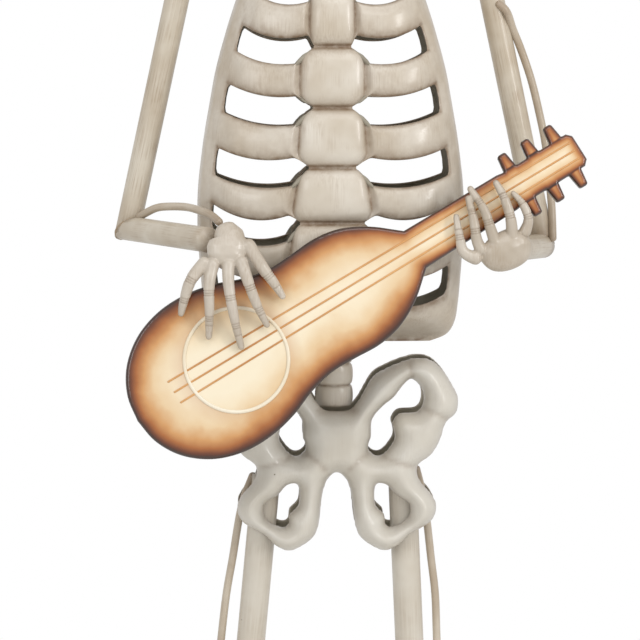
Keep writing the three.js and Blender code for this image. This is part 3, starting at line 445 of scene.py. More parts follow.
def rib_row(band, v, parts, shares, facing, depth_share):
    """Places and wash of one row of the shell, from the middle out."""
    above = RIB_GAPS[band - 1] if band > 0 else None
    below = RIB_GAPS[band] if band < len(RIB_GAPS) else None
    swell_here = above[5] if above and below else 0
    is_bone = np.array([part == "bone" for part in parts])
    is_rib = np.array([part == "rib" for part in parts])
    is_rail = np.array([part == "rail" for part in parts])
    share = np.where(is_rib, shares, np.where(is_rail, 1.0, 0.0))
    top = gap_line(above, share, -1, swell_here) if above else np.full(len(share), float(RIB_TOP))
    bottom = gap_line(below, share, 1, swell_here) if below else np.full(len(share), float(RIB_BOTTOM))
    fall = v if below else v ** 0.6
    z = top + (bottom - top) * fall
    edge = abs(2 * v - 1)
    round_off = math.sqrt(max(1 - edge ** 2.6, 0))
    bone_above, bone_below = (above or below)[1], (below or above)[1]
    # Near its creases a bead's side slants, and between the shoulders it bows out a little
    from_crease = (1 - edge) / 2 * (top[0] - bottom[0])
    slant = 1 - (1 - min(from_crease / SHOULDER, 1)) ** 1.3
    bone = bone_above + (bone_below - bone_above) * v + swell_here * (0.74 * slant + 0.26 * round_off)
    rim = smooth(RIB_OUTLINE, z)
    reach = rim - SIDE_RAIL
    x = np.where(is_bone, bone * shares, np.where(is_rib, bone + (reach - bone) * shares,
                                                  reach + SIDE_RAIL * shares))
    section = np.maximum(1 - (x / rim) ** CHEST_SQUARENESS, 0) ** (1 / CHEST_SQUARENESS)
    depth = smooth(CHEST_DEPTH, z) * section * depth_share
    if below:
        # Each rib is crowned, and the bead stands above the valley where it meets the ribs
        valley_depth = 0.25 * RIB_ROUND * round_off
        crown = np.maximum(1 - shares ** 3.2, 0) ** 0.5
        bead = valley_depth + (BEAD_ROUND - 0.25 * RIB_ROUND) * round_off * crown
        rise = valley_depth + (RIB_ROUND * round_off - valley_depth) * step(0, 0.11, shares)
        rib = rise * (1 - 0.45 * step(0.78, 1, shares))
        rail = 0.55 * RIB_ROUND * round_off * (1 - step(0, 0.6, shares))
        depth = depth + np.where(is_bone, bead, np.where(is_rib, rib, rail))
    # Distances in millimetres to the bead's outline, to the creases and to the gaps
    to_side = np.where(is_bone, (1 - shares) * bone, np.where(is_rib, shares * (reach - bone), 99))
    height = np.abs(top - bottom)
    to_edge = np.minimum(v, 1 - v) * height
    # seam, valley and lip darken the bead's outline, the crease rows and the ribs' turned edges: brown wash
    # and painted shade
    seam = 0.6 * np.exp(-(to_side / 1.3) ** 2) + 0.3 * np.exp(-(to_side / 7) ** 2)
    seam = seam * round_off
    valley = np.where(is_bone, 0.8 * np.exp(-(to_edge / 1.1) ** 2) + 0.4 * np.exp(-(to_edge / 6) ** 2), 0)
    lip = np.where(is_rib, 0.75 * np.exp(-(to_edge / 2.2) ** 2), 0)
    # Painted shade: each rib is darker along its lower edge, over about 8 mm
    lip = lip + np.where(is_rib & (v > 0.5), 0.45 * np.exp(-((1 - v) * height / 8) ** 2), 0)
    tint = np.where(is_rib, 0.2, np.where(is_rail, 0.22, 0.03))
    wash = np.maximum(np.maximum(seam, valley), lip) + tint
    if band == 2:
        # The second rib has a rolled lip along its upper edge, that fades towards the side
        fade = np.where(is_rib, 1 - step(0.5, 0.95, shares), 0)
        roll = np.exp(-((v * height - 5.2) / 1.2) ** 2) * fade
        depth = depth - 2.4 * roll + 1.2 * np.exp(-((v * height - 2.5) / 2) ** 2) * fade
        # The groove below the lip is darkened as painted shade
        wash = np.maximum(wash, 0.95 * roll)
    if not below:
        # Painted shade: the lowest rib darkens towards its bottom edge
        wash = wash + 0.3 * np.exp(-((1 - v) * 60 / 8) ** 2)
    y = facing * (GAP / 2 + np.maximum(depth, 0))
    return x, y, z, np.clip(wash, 0, 1)


def ribcage_shell(name, node, facing, depth_share):
    parts, shares = column_layout()
    rows = row_layout()
    half = len(parts) - 1
    mesh = grid(2 * half, len(rows) - 1)
    places, wash_and_shade_values = [], []
    for band, v in rows:
        x, y, z, wash = rib_row(band, v, parts, shares, facing, depth_share)
        for i in range(2 * half + 1):
            k = abs(i - half)
            side = math.copysign(1, i - half)
            places.append((side * x[k], y[k], z[k]))
            wash_and_shade_values.append(wash[k])
    set_places(mesh, places)
    set_values(mesh, "wash", wash_and_shade_values)
    in_gap = []
    for index, face in enumerate(mesh.faces):
        i, j = index % (2 * half), index // (2 * half)
        outer = parts[max(abs(i - half), abs(i + 1 - half))]
        if rows[j][0] != rows[j + 1][0] and outer == "rib":
            in_gap.append(face)
    bmesh.ops.delete(mesh, geom=in_gap, context="FACES")
    if facing > 0:
        bmesh.ops.reverse_faces(mesh, faces=mesh.faces)
    piece = finished(mesh, name, [pressed_enamel, inside], [node])
    add_thickness(piece, SHEET, inner_slot=1)
    add_subdivision(piece)
    return piece


ribcage_shell("rib_shell_front", "ribcage_front", -1, 1.0)
ribcage_shell("rib_shell_back", "ribcage_back", 1, BACK_DEPTH_SHARE)

# %% [markdown]
# ## Sheets cut to an outline
#
# The pelvis and the guitar are flat blanks cut to a free outline and then pressed, so that
# their edges roll over. Here a fine grid loses the faces outside the outline, its border
# is drawn onto the outline, a few rounds of smoothing even out the cells, and the distance
# to the nearest edge gives the depth at each point.

# %% Distances and border
def outline_distance(points, outlines):
    """Distance of each point to the nearest outline, positive inside, and the nearest place."""
    best = np.full(len(points), np.inf)
    nearest = points.copy()
    inside_count = np.zeros(len(points), int)
    for outline in outlines:
        start, end = outline, np.roll(outline, -1, axis=0)
        for a, b in zip(start, end):
            run = b - a
            t = np.clip(((points - a) @ run) / max(run @ run, 1e-12), 0, 1)
            foot = a + t[:, None] * run
            gap = np.linalg.norm(points - foot, axis=1)
            closer = gap < best
            best[closer], nearest[closer] = gap[closer], foot[closer]
            crosses = (a[1] > points[:, 1]) != (b[1] > points[:, 1])
            if crosses.any():
                where = a[0] + (points[:, 1] - a[1]) / (b[1] - a[1]) * run[0]
                inside_count += crosses & (points[:, 0] < where)
    return np.where(inside_count % 2 == 1, best, -best), nearest


def cut_blank(outlines, pitch):
    """A grid cut to outlines, with its border on them. Returns the mesh, places and distances."""
    everything = np.vstack(outlines)
    low, high = everything.min(0) - pitch, everything.max(0) + pitch
    across, up = (int(math.ceil(size / pitch)) for size in high - low)
    mesh = grid(across, up)
    flat = np.array([vert.co[:2] for vert in mesh.verts])
    set_places(mesh, [(x, y, 0) for x, y in low + (flat + 0.5) * (high - low)])
    centres = np.array([face.calc_center_median()[:2] for face in mesh.faces])
    keep, _ = outline_distance(centres, outlines)
    outside = [face for face, distance in zip(mesh.faces, keep) if distance <= 0]
    bmesh.ops.delete(mesh, geom=outside, context="FACES")
    # Two cells that touch only at a corner would pinch the sheet
    pinched = {face for vert in mesh.verts for face in vert.link_faces
               if len([edge for edge in vert.link_edges if edge.is_boundary]) > 2}
    lone = [face for face in pinched if sum(edge.is_boundary for edge in face.edges) > 1]
    bmesh.ops.delete(mesh, geom=lone, context="FACES")
    for _ in range(5):
        border = [vert for vert in mesh.verts if vert.is_boundary]
        spots = np.array([vert.co[:2] for vert in border])
        _, feet = outline_distance(spots, outlines)
        for vert, foot in zip(border, feet):
            vert.co = (foot[0], foot[1], 0)
        inner = [vert for vert in mesh.verts if not vert.is_boundary]
        bmesh.ops.smooth_vert(mesh, verts=inner, factor=0.5, use_axis_x=True, use_axis_y=True)
    mesh.verts.ensure_lookup_table()
    mesh.verts.index_update()
    spots = np.array([vert.co[:2] for vert in mesh.verts])
    distance, _ = outline_distance(spots, outlines)
    border = np.array([vert.is_boundary for vert in mesh.verts])
    return mesh, spots, np.where(border, 0, np.maximum(distance, 0))


def line_distance(points, line):
    """Distance of each point to a polyline."""
    line = np.array(line, float)
    best = np.full(len(points), np.inf)
    for a, b in zip(line[:-1], line[1:]):
        run = b - a
        t = np.clip(((points - a) @ run) / (run @ run), 0, 1)
        best = np.minimum(best, np.linalg.norm(points - (a + t[:, None] * run), axis=1))
    return best


# %% [markdown]
# ## Pelvis
#
# Two pressed sheets stand back to back with a gap of about 38 mm between their edges, and the
# thigh tubes and the spine are held between them. The die has rolled every edge over and left
# shallow creases between the hip bones and the sacrum.

# %% Sizes of the pelvis
PELVIS_X = 6
PELVIS_EDGE_Y = 19
PELVIS_RISE = 26
PELVIS_ROUND = 20
PELVIS_OUTLINE = [
    [0, 896], [14, 898], [22, 907], [30, 921], [38, 933], [52, 941], [66, 947], [82, 951], [97, 949],
    [109, 939], [119, 924], [126, 909], [124, 893], [113, 882], [108, 866], [99, 850], [84, 837],
    [86, 824], [99, 808], [104, 797], [101, 783], [90, 773], [76, 766], [65, 755], [50, 748.5],
    [34, 755], [22, 766], [17, 784], [15, 805], [9, 824], [0, 831],
]
ILIAC_HOLE = [
    [77, 928], [86, 920], [89, 907], [84, 896], [64, 893], [57, 884], [59, 867], [50, 853], [42, 849],
    [33, 856], [36, 869], [37, 886], [47, 899], [60, 910], [70, 923],
]
PUBIC_HOLE = [
    [42, 819], [52, 817], [60, 808], [75, 797], [74, 785], [62, 776], [52, 776], [50, 787], [41, 797],
]
# Creases that the die left, on one half: the line, its width and its depth
PELVIS_CREASES = [
    ([[73, 948], [76, 938], [77, 930]], 4, 2.2),
    ([[86, 900], [104, 893], [121, 884]], 4, 2.0),
    ([[37, 851], [56, 846], [84, 838]], 4, 1.6),
    ([[12, 836], [22, 846], [33, 853]], 4, 2.4),
    ([[78, 764], [84, 771], [90, 776]], 3, 1.5),
]


# %% One pelvis sheet
def pelvis_sheet(name, node, facing):
    half = np.array(PELVIS_OUTLINE, float)
    mirrored = half[1:-1][::-1] * [-1, 1]
    holes = [through(np.array(hole, float) * [side, 1], 90, closed=True)
             for hole in (ILIAC_HOLE, PUBIC_HOLE) for side in (-1, 1)]
    outlines = [through(np.vstack([half, mirrored]), 300, closed=True)] + holes
    mesh, spots, distance = cut_blank(outlines, 3.2)
    inward = np.minimum(distance / PELVIS_ROUND, 1)
    depth = PELVIS_EDGE_Y + PELVIS_RISE * np.sqrt(1 - (1 - inward) ** 2) * (0.86 + 0.14 * inward)
    # Darker along the rolled edge and in the creases: brown wash and painted shade
    wash = 0.35 * np.exp(-(distance / 2.5) ** 2)
    mirrored_spots = np.abs(spots * [1, 0]) + spots * [0, 1]
    for line, width, fall in PELVIS_CREASES:
        near = np.exp(-(line_distance(mirrored_spots, line) / width) ** 2)
        depth = depth - fall * near
        wash = np.maximum(wash, 0.4 * near ** 2)
    # Painted shade under the spine, where it is pressed against the top of the sacrum
    under_spine = np.exp(-((spots[:, 1] - 897) / 4) ** 2) * step(26, 18, np.abs(spots[:, 0]))
    wash = np.maximum(wash, 0.5 * under_spine)
    set_places(mesh, [(x + PELVIS_X, facing * y, z) for (x, z), y in zip(spots, depth)])
    set_values(mesh, "wash", wash)
    if facing > 0:
        bmesh.ops.reverse_faces(mesh, faces=mesh.faces)
    piece = finished(mesh, name, [pelvis_enamel, inside], [node])
    add_thickness(piece, SHEET, inner_slot=1)
    add_subdivision(piece)
    return piece


pelvis_sheet("pelvis_sheet_front", "pelvis_front", -1)
pelvis_sheet("pelvis_sheet_back", "pelvis_back", 1)

# %% [markdown]
# ## Round bars, tubes and welds
#
# Limbs, rods, fingers and weld seams are all round bars that follow a curve. A curve object
# with a bevel would give the same form, but its thickness could not differ across and in
# depth, and its rings could not crowd at the rounded ends. So one function wraps a grid
# round a smooth path. It also unrolls the surface into a UV map for the brush marks.

# %% A round bar along a curve
CAP_RINGS = 6


def bar(stations, around=24, pitch=3.0, rounded=(True, True), reference=(0, 1, 0), lumps=0.0,
        end_darkening=(0.0, 0.0)):
    """A closed bar through stations of x, y, z, half width and, if it differs, half depth."""
    full = np.array([list(s) + [s[3]] * (5 - len(s)) for s in stations], float)
    fine = through(full, 240)
    run = np.concatenate([[0], np.cumsum(np.linalg.norm(np.diff(fine[:, :3], axis=0), axis=1))])
    length = run[-1]
    arc = np.linspace(0, math.pi / 2, CAP_RINGS)[:-1]
    first_cap = fine[0, 3] if rounded[0] else 0
    last_cap = fine[-1, 3] if rounded[1] else 0
    count = max(int((length - first_cap - last_cap) / pitch), 2)
    places = np.linspace(first_cap, length - last_cap, count)
    shares = np.ones(count)
    if rounded[0]:
        places = np.concatenate([first_cap * (1 - np.cos(arc[::1])), places])
        places[:len(arc)] = first_cap * (1 - np.sin(math.pi / 2 - arc))
        shares = np.concatenate([np.sin(arc), shares])
    if rounded[1]:
        places = np.concatenate([places, length - last_cap * (1 - np.cos(arc[::-1]))])
        shares = np.concatenate([shares, np.sin(arc[::-1])])
    centres = np.stack([np.interp(places, run, fine[:, k]) for k in range(5)], 1)
    heading = np.gradient(fine[:, :3], axis=0)
    tangent = np.stack([np.interp(places, run, heading[:, k]) for k in range(3)], 1)
    tangent /= np.linalg.norm(tangent, axis=1, keepdims=True)
    sideways = np.cross(np.array(reference, float), tangent)
    sideways /= np.linalg.norm(sideways, axis=1, keepdims=True)
    outward = np.cross(tangent, sideways)
    mesh = grid(around, len(places) - 1)
    spots, flat, wash = [], [], []
    for row, place in enumerate(places):
        for i in range(around + 1):
            angle = 2 * math.pi * (i % around) / around
            wide, deep = centres[row, 3] * shares[row], centres[row, 4] * shares[row]
            out = sideways[row] * math.cos(angle) * wide + outward[row] * math.sin(angle) * deep
            if lumps:
                grown = Vector((centres[row, :3] + out) / (3 * lumps))
                out = out * (1 + 0.28 * noise.noise(grown))
            spots.append(centres[row, :3] + out)
            flat.append((i / around * 2 * math.pi * fine[0, 3] * MM, place * MM))
            # Darker within about 14 mm of each end, by the two amounts given for the ends
            wash.append(end_darkening[0] * math.exp(-place / 14) + end_darkening[1] * math.exp(-(length - place) / 14))
    set_places(mesh, spots)
    set_values(mesh, "wash", wash)
    set_uv(mesh, flat)
    weld_seams(mesh)
    close_ends(mesh)
    return mesh


def tube(start, end, radius, around=40, end_darkening=(0.0, 0.0)):
    return bar([[*start, radius], [*end, radius]], around, 12, (False, False), end_darkening=end_darkening)


def merged(meshes):
    """Several closed meshes as one."""
    whole = bmesh.new()
    for mesh in meshes:
        holder = bpy.data.meshes.new("holder")
        mesh.to_mesh(holder)
        mesh.free()
        whole.from_mesh(holder)
        bpy.data.meshes.remove(holder)
    whole.verts.ensure_lookup_table()
    return whole


def weld(points, radius=2.2):
    """A lumpy seam of weld metal through a few points."""
    return bar([[*p, radius] for p in points], 12, 1.2, lumps=radius / 2.2)


# %% [markdown]
# ## Spine, neck and collar bar
#
# On the real figure these are short lengths of tube pressed into beads, and a bent bar that
# carries both arms. A lathe profile would do for the beads, and the same grid does it here
# with its rings close together in the creases, where the wash and the painted shade gather.

# %% Spine, neck and collar bar
SHOULDER_HEIGHT = 1432.6
LUMBAR = {"x": 3.5, "y": 2, "low": 898.5, "high": 965.7, "beads": 3, "radius": 19.8}
NECK = {"x": 0, "y": 0, "low": 1432.6, "high": 1548, "beads": 3, "radius": 17}
BEAD_PINCH = 3.4
RIGHT_SHOULDER = (-133, 5, SHOULDER_HEIGHT)
LEFT_SHOULDER = (142, 5, SHOULDER_HEIGHT)


def beaded_tube(x, y, low, high, beads, radius):
    mesh = bmesh.new()
    bmesh.ops.create_grid(mesh, x_segments=48, y_segments=20 * beads, size=0.5)
    spots, wash = [], []
    for vert in mesh.verts:
        angle = 2 * math.pi * (vert.co.x + 0.5)
        share = (vert.co.y + 0.5) * beads
        crest = abs(2 * (share % 1) - 1)
        swell = math.sqrt(max(1 - crest ** 2.6, 0))
        # A spine bead is a little squarer than round, with a flat at its front
        wide = radius - BEAD_PINCH * (1 - swell)
        squash = (abs(math.cos(angle)) ** 2.6 + abs(math.sin(angle)) ** 2.6) ** (-1 / 2.6)
        wide *= 0.6 + 0.4 * squash
        spots.append((x + wide * math.sin(angle), y + wide * math.cos(angle),
                      low + (high - low) * (vert.co.y + 0.5)))
        # Darker in the pinches between beads: brown wash and painted shade
        wash.append(0.8 * math.exp(-((1 - crest) / 0.13) ** 2) + 0.1)
    set_places(mesh, spots)
    set_values(mesh, "wash", wash)
    weld_seams(mesh)
    close_ends(mesh)
    return mesh


finished(beaded_tube(**LUMBAR), "spine_beads", [pressed_enamel], ["lumbar_spine"])
finished(beaded_tube(**NECK), "neck_beads", [pressed_enamel], ["neck"])
collar = [[-145.7, 5, SHOULDER_HEIGHT, 10], [-73, -10, SHOULDER_HEIGHT + 6, 10],
          [0, 0, SHOULDER_HEIGHT, 10], [78, -10, SHOULDER_HEIGHT + 6, 10],
          [154.7, 5, SHOULDER_HEIGHT, 10]]
finished(bar(collar, 28, reference=(0, 0, 1)), "collar_bone", [rod_enamel], ["collar_bar"])

# %% [markdown]
# ## Arms
#
# The arms are one-inch steel tube. The right elbow is cut to a mitre and welded, with the
# seam left as it came. At the left elbow the upper arm is saddled onto the forearm. A bent
# rod beside each stands for the second bone. The mitre is a bisect through both tubes.

# %% Arm tubes
ARM_TUBE_RADIUS = 12.7
RIGHT_ELBOW, RIGHT_WRIST = Vector((-211, 30, 1082)), Vector((-124, -98, 1077))
LEFT_ELBOW, LEFT_WRIST = Vector((224, 30, 1063)), Vector((184, -78, 1067))


def beyond(start, end, distance):
    """The end of a line, moved on by a distance."""
    return end + (end - start).normalized() * distance


def cut_off(mesh, place, normal):
    """Takes away what lies on the normal's side of a plane and closes the cut."""
    geometry = [*mesh.verts, *mesh.edges, *mesh.faces]
    bmesh.ops.bisect_plane(mesh, geom=geometry, plane_co=place, plane_no=normal, clear_outer=True)
    close_ends(mesh)
    return mesh


towards_shoulder = (Vector(RIGHT_SHOULDER) - RIGHT_ELBOW).normalized()
towards_wrist = (RIGHT_WRIST - RIGHT_ELBOW).normalized()
mitre = (towards_shoulder - towards_wrist).normalized()
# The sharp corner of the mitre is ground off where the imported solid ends
elbow_corner = Vector((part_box("upper_arm_right")[0][0] / MM, 0, 0))


def corner_ground(mesh):
    return cut_off(mesh, elbow_corner, (-1, 0, 0))


upper = tube(RIGHT_SHOULDER, beyond(Vector(RIGHT_SHOULDER), RIGHT_ELBOW, 20), ARM_TUBE_RADIUS,
             end_darkening=(0.2, 1.2))
finished(corner_ground(cut_off(upper, RIGHT_ELBOW, -mitre)), "upper_arm_tube_right", [tube_enamel],
         ["upper_arm_right"])
lower = tube(RIGHT_WRIST, beyond(RIGHT_WRIST, RIGHT_ELBOW, 20), ARM_TUBE_RADIUS, end_darkening=(0.4, 1.2))
finished(corner_ground(cut_off(lower, RIGHT_ELBOW, mitre)), "forearm_tube_right", [tube_enamel],
         ["forearm_right"])
finished(tube(LEFT_SHOULDER, LEFT_ELBOW, ARM_TUBE_RADIUS, end_darkening=(0.2, 1.6)),
         "upper_arm_tube_left", [tube_enamel], ["upper_arm_left"])
finished(tube(LEFT_ELBOW, LEFT_WRIST, ARM_TUBE_RADIUS, end_darkening=(0.5, 0.4)), "forearm_tube_left",
         [tube_enamel], ["forearm_left"])

# %% The thin rods of the arms
BONE_ROD_RADIUS = 4.1
ROD_RIGHT_FOREARM = [
    [-207, 27, 1089], [-193, 12, 1098], [-179, -5, 1105], [-164, -20, 1107], [-147, -38, 1107],
    [-132, -60, 1104], [-121, -76, 1100], [-112, -92, 1093],
]
ROD_LEFT_ARM = [
    [170, 2, 1316], [180, 1, 1308], [189, 11, 1288], [197, 16, 1270], [209, 20, 1237],
    [218, 23, 1203], [225, 24, 1170], [229, 24, 1137], [232, 22, 1103], [233, 18, 1068],
]


def bone_rod(points, reference=(0, 1, 0)):
    return bar([[*p, BONE_ROD_RADIUS] for p in points], 16, reference=reference, end_darkening=(0.7, 0.7))


finished(bone_rod(ROD_RIGHT_FOREARM, (0, 0, 1)), "forearm_bone_rod_right", [rod_enamel],
         ["forearm_rod_right"])
finished(bone_rod(ROD_LEFT_ARM), "upper_arm_bone_rod_left", [rod_enamel], ["upper_arm_rod_left"])

# %% Weld seams of the arms
def seam_round(axis_place, axis, radius, reach):
    """Places round a tube, each moved along its axis by what reach gives for it."""
    axis = axis.normalized()
    side = axis.cross(Vector((0, 0, 1))).normalized()
    other = axis.cross(side)
    places = []
    for k in range(25):
        angle = 2 * math.pi * k / 24
        spot = axis_place + (side * math.cos(angle) + other * math.sin(angle)) * radius
        places.append(spot + axis * reach(spot))
    return places


SEAM_SUNK = 1.0  # the seam's middle lies this far inside the tube's face
mitre_seam = seam_round(RIGHT_ELBOW, towards_shoulder, ARM_TUBE_RADIUS - SEAM_SUNK,
                        lambda spot: -(spot - RIGHT_ELBOW).dot(mitre) / towards_shoulder.dot(mitre))
finished(corner_ground(weld(mitre_seam, 1.6)), "weld_right_elbow", [weld_enamel])

# %% [markdown]
# ## Hands
#
# The real hands are castings: a flat palm with tendons that were scratched in with a
# tool, and fingers with cut knuckle lines and long nails. Each finger is a bar, the palm
# another, and a voxel remesh flows them into one skin, as wax does before casting. A
# boolean union would leave hard creases between the fingers. The lines are pressed in
# after that, because the remesh would swallow them.

# %% Sizes of the hands
# Stations from wrist to knuckles: x, y, z, half width, half depth
RIGHT_PALM = [
    [-115, -99, 1090, 9, 8], [-105, -105, 1080, 17, 11], [-106, -112, 1066, 22, 11],
    [-107, -116, 1052, 25, 8],
]
# Stations from palm to fingertip: x, y, z, radius
RIGHT_FINGERS = [
    [[-124, -114, 1060, 6.8], [-141, -120, 1039, 6], [-148, -118, 1019, 4.8], [-152, -112, 1002, 3]],
    [[-118, -115, 1060, 6.8], [-123, -122, 1036, 5.8], [-123, -121, 1007, 4.8], [-124, -113, 979, 3.2]],
    [[-104, -115, 1060, 6.8], [-104, -123, 1036, 5.8], [-98, -121, 999, 4.8], [-91, -114, 969, 3.2]],
    [[-93, -115, 1062, 6.8], [-86, -122, 1041, 5.8], [-76, -119, 1014, 4.8], [-65, -112, 991, 3.1]],
    [[-88, -108, 1078, 7.4], [-70, -115, 1050, 6.2], [-59, -114, 1035, 5], [-49, -108, 1019, 3.1]],
]
LEFT_PALM = [
    [196, -84, 1079, 11, 7], [184, -89, 1071, 19, 10], [166, -94, 1063, 19, 10],
    [147, -95, 1058, 11, 7],
]
LEFT_FINGERS = [
    [[148, -95, 1056, 7.4], [130, -99, 1065, 5.6], [126, -100, 1079, 4.7], [122, -96, 1103, 2.8]],
    [[150, -95, 1062, 6.6], [143, -99, 1077, 5.6], [140, -100, 1095, 4.8], [134, -94, 1121, 3.2]],
    [[164, -95, 1067, 6.6], [157, -99, 1087, 5.6], [150, -99, 1107, 4.7], [135, -92, 1130, 3.2]],
    [[179, -92, 1074, 6.6], [177, -97, 1097, 5.5], [170, -97, 1119, 4.6], [161, -91, 1136, 3.2]],
    [[190, -88, 1080, 6.6], [195, -92, 1096, 5], [190, -93, 1111, 4.3], [178, -90, 1125, 2.6]],
]


# %% Flowing bars into one casting
def cast_skin(mesh, voxel, rounds=3):
    """One closed skin over all the overlapping bars of a mesh."""
    data = bpy.data.meshes.new("bars")
    mesh.to_mesh(data)
    mesh.free()
    holder = bpy.data.objects.new("bars", data)
    bpy.context.scene.collection.objects.link(holder)
    remesh = holder.modifiers.new("skin", "REMESH")
    remesh.mode = "VOXEL"
    remesh.voxel_size = voxel
    view = bpy.context.evaluated_depsgraph_get()
    skin = bmesh.new()
    skin.from_mesh(holder.evaluated_get(view).data)
    bpy.data.objects.remove(holder)
    bpy.data.meshes.remove(data)
    for _ in range(rounds):
        bmesh.ops.smooth_vert(skin, verts=skin.verts, factor=0.5, use_axis_x=True,
                              use_axis_y=True, use_axis_z=True)
    bmesh.ops.recalc_face_normals(skin, faces=skin.faces)
    skin.verts.ensure_lookup_table()
    return skin


def nearest_on(points, path):
    """For each point its distance to a path, and how far along the path it lies."""
    best = np.full(len(points), np.inf)
    place = np.zeros(len(points))
    run = 0.0
    for a, b in zip(path[:-1], path[1:]):
        line = b - a
        length = np.linalg.norm(line)
        t = np.clip(((points - a) @ line) / length ** 2, 0, 1)
        gap = np.linalg.norm(points - (a + t[:, None] * line), axis=1)
        closer = gap < best
        best[closer], place[closer] = gap[closer], run + t[closer] * length
        run += length
    return best, place, run


def hand(name, node, palm, fingers, thumb):
    bars = [bar(palm, 32, 3)] + [bar(finger, 20, 2) for finger in fingers]
    skin = cast_skin(merged(bars), 0.85)
    points = np.array([vert.co[:] for vert in skin.verts])
    normals = np.array([vert.normal[:] for vert in skin.verts])
    push = np.zeros(len(points))
    wash = np.full(len(points), 0.12)
    paths = [through(np.array(finger)[:, :3], 60) for finger in fingers]
    gaps = np.stack([nearest_on(points, path)[0] for path in paths], 1)
    owner = gaps.argmin(1)
    front = np.clip(-normals[:, 1], 0, 1)
    for k, path in enumerate(paths):
        gap, place, length = nearest_on(points, path)
        mine = (owner == k) & (gap < 11)
        # Two joints with three cut lines each
        for share in ((0.42, 0.72) if k != thumb else (0.6,)):
            for line in (-2.2, 0, 2.2):
                cut = np.exp(-((place - share * length - line) / 0.6) ** 2) * mine
                push -= 0.55 * cut
                # The cut lines are darkened: brown wash and painted shade in the cuts
                wash = np.maximum(wash, 0.75 * cut)
            knuckle = np.exp(-((place - share * length) / 5) ** 2) * mine
            push += 0.5 * knuckle * front
        # The nail: a raised plate with a groove round it
        tip_side = length - place
        across = np.sqrt(np.maximum(1 - front, 0))
        plate = np.maximum(np.abs(tip_side - 8) / 7.5, across / 0.62)
        nail = step(1.12, 0.98, plate) * mine
        groove = np.exp(-((plate - 1.12) / 0.1) ** 2) * mine * (front > 0.2)
        push += 0.35 * nail - 0.4 * groove
        # The groove round the nail is darkened as brown wash and painted shade; the nail plate keeps less of
        # the wash
        wash = np.maximum(wash * (1 - 0.6 * nail), 0.6 * groove)
        # Tendons run from each finger back to the wrist
        root, wrist = path[0], np.array(palm[0][:3], float)
        tendon = nearest_on(points, np.stack([root, root + 0.85 * (wrist - root)]))[0]
        lie = np.exp(-((tendon - 9) / 3.2) ** 2) * front * (gaps.min(1) > 4)
        push += 0.5 * lie
    skin.verts.ensure_lookup_table()
    set_places(skin, points + normals * push[:, None])
    set_values(skin, "wash", np.clip(wash, 0, 1))
    return finished(skin, name, [cast_enamel], [node])


hand("cast_hand_right", "hand_right", RIGHT_PALM, RIGHT_FINGERS, 4)
hand("cast_hand_left", "hand_left", LEFT_PALM, LEFT_FINGERS, 0)

# %% [markdown]
# ## Guitar
#
# The guitar is one blank of sheet steel with its rim folded back, its ring and strings
# raised by a blunt tool. It hangs in a frame of its own, so it is made flat there and
# turned into place at the end. The sunburst is airbrushed enamel under a clear coat: cream
# in the middle, orange-brown and then nearly black towards the rim. The near-black at the
# very rim is partly that brown and partly painted shade of the rolled edge.

# %% Sizes of the guitar
GUITAR_CENTRE = (-96.6, -112, 958.8)
NECK_ANGLE, LEAN_BACK = 31.7, 9.4
GUITAR_DEPTH, RIM_ROUND = 9.0, 3.2
RING_RADIUS = 51.8
GUITAR_OUTLINE = [
    [-115.3, 0], [-111, 26], [-97, 51], [-72.5, 71], [-42, 81.5], [-10, 82.5], [20, 76.5],
    [48, 66], [75, 60.4], [100, 60.7], [129, 62.2], [153, 58.4], [172, 50.3], [188, 40],
    [200, 30], [210, 21.5],
]
NECK_HALF_WIDTH = 20
HEAD_START, HEAD_END, HEAD_HALF, HEAD_CORNER, NECK_RUN = 327, 405, 18.6, 5, 8
PEG_PLACES, PEG_BASE, PEG_TIP, PEG_REACH = [334, 361, 388], 7, 4.8, 35.7
STRING_START, STRING_END, STRING_DRIFT = -70, 399, 5
STRING_SPACING = (12, 9)

guitar_place = (Matrix.Translation(GUITAR_CENTRE) @ Matrix.Rotation(math.radians(90 - LEAN_BACK), 4, "X")
                @ Matrix.Rotation(math.radians(NECK_ANGLE), 4, "Z"))


# %% The guitar's sheet
def guitar_outline(with_pegs):
    half = [*through(np.array(GUITAR_OUTLINE, float), 90), np.array([HEAD_START - NECK_RUN, NECK_HALF_WIDTH])]
    for place in PEG_PLACES if with_pegs else []:
        half += [np.array(p) for p in (
            (place - PEG_BASE, HEAD_HALF), (place - PEG_TIP, PEG_REACH - 1.5),
            (place - PEG_TIP + 1.5, PEG_REACH), (place + PEG_TIP - 1.5, PEG_REACH),
            (place + PEG_TIP, PEG_REACH - 1.5), (place + PEG_BASE, HEAD_HALF))]
    half += [np.array(p) for p in ((HEAD_END - HEAD_CORNER, HEAD_HALF), (HEAD_END, HEAD_HALF - HEAD_CORNER))]
    other = [p * [1, -1] for p in half[1:]][::-1]
    return np.array(half + other)


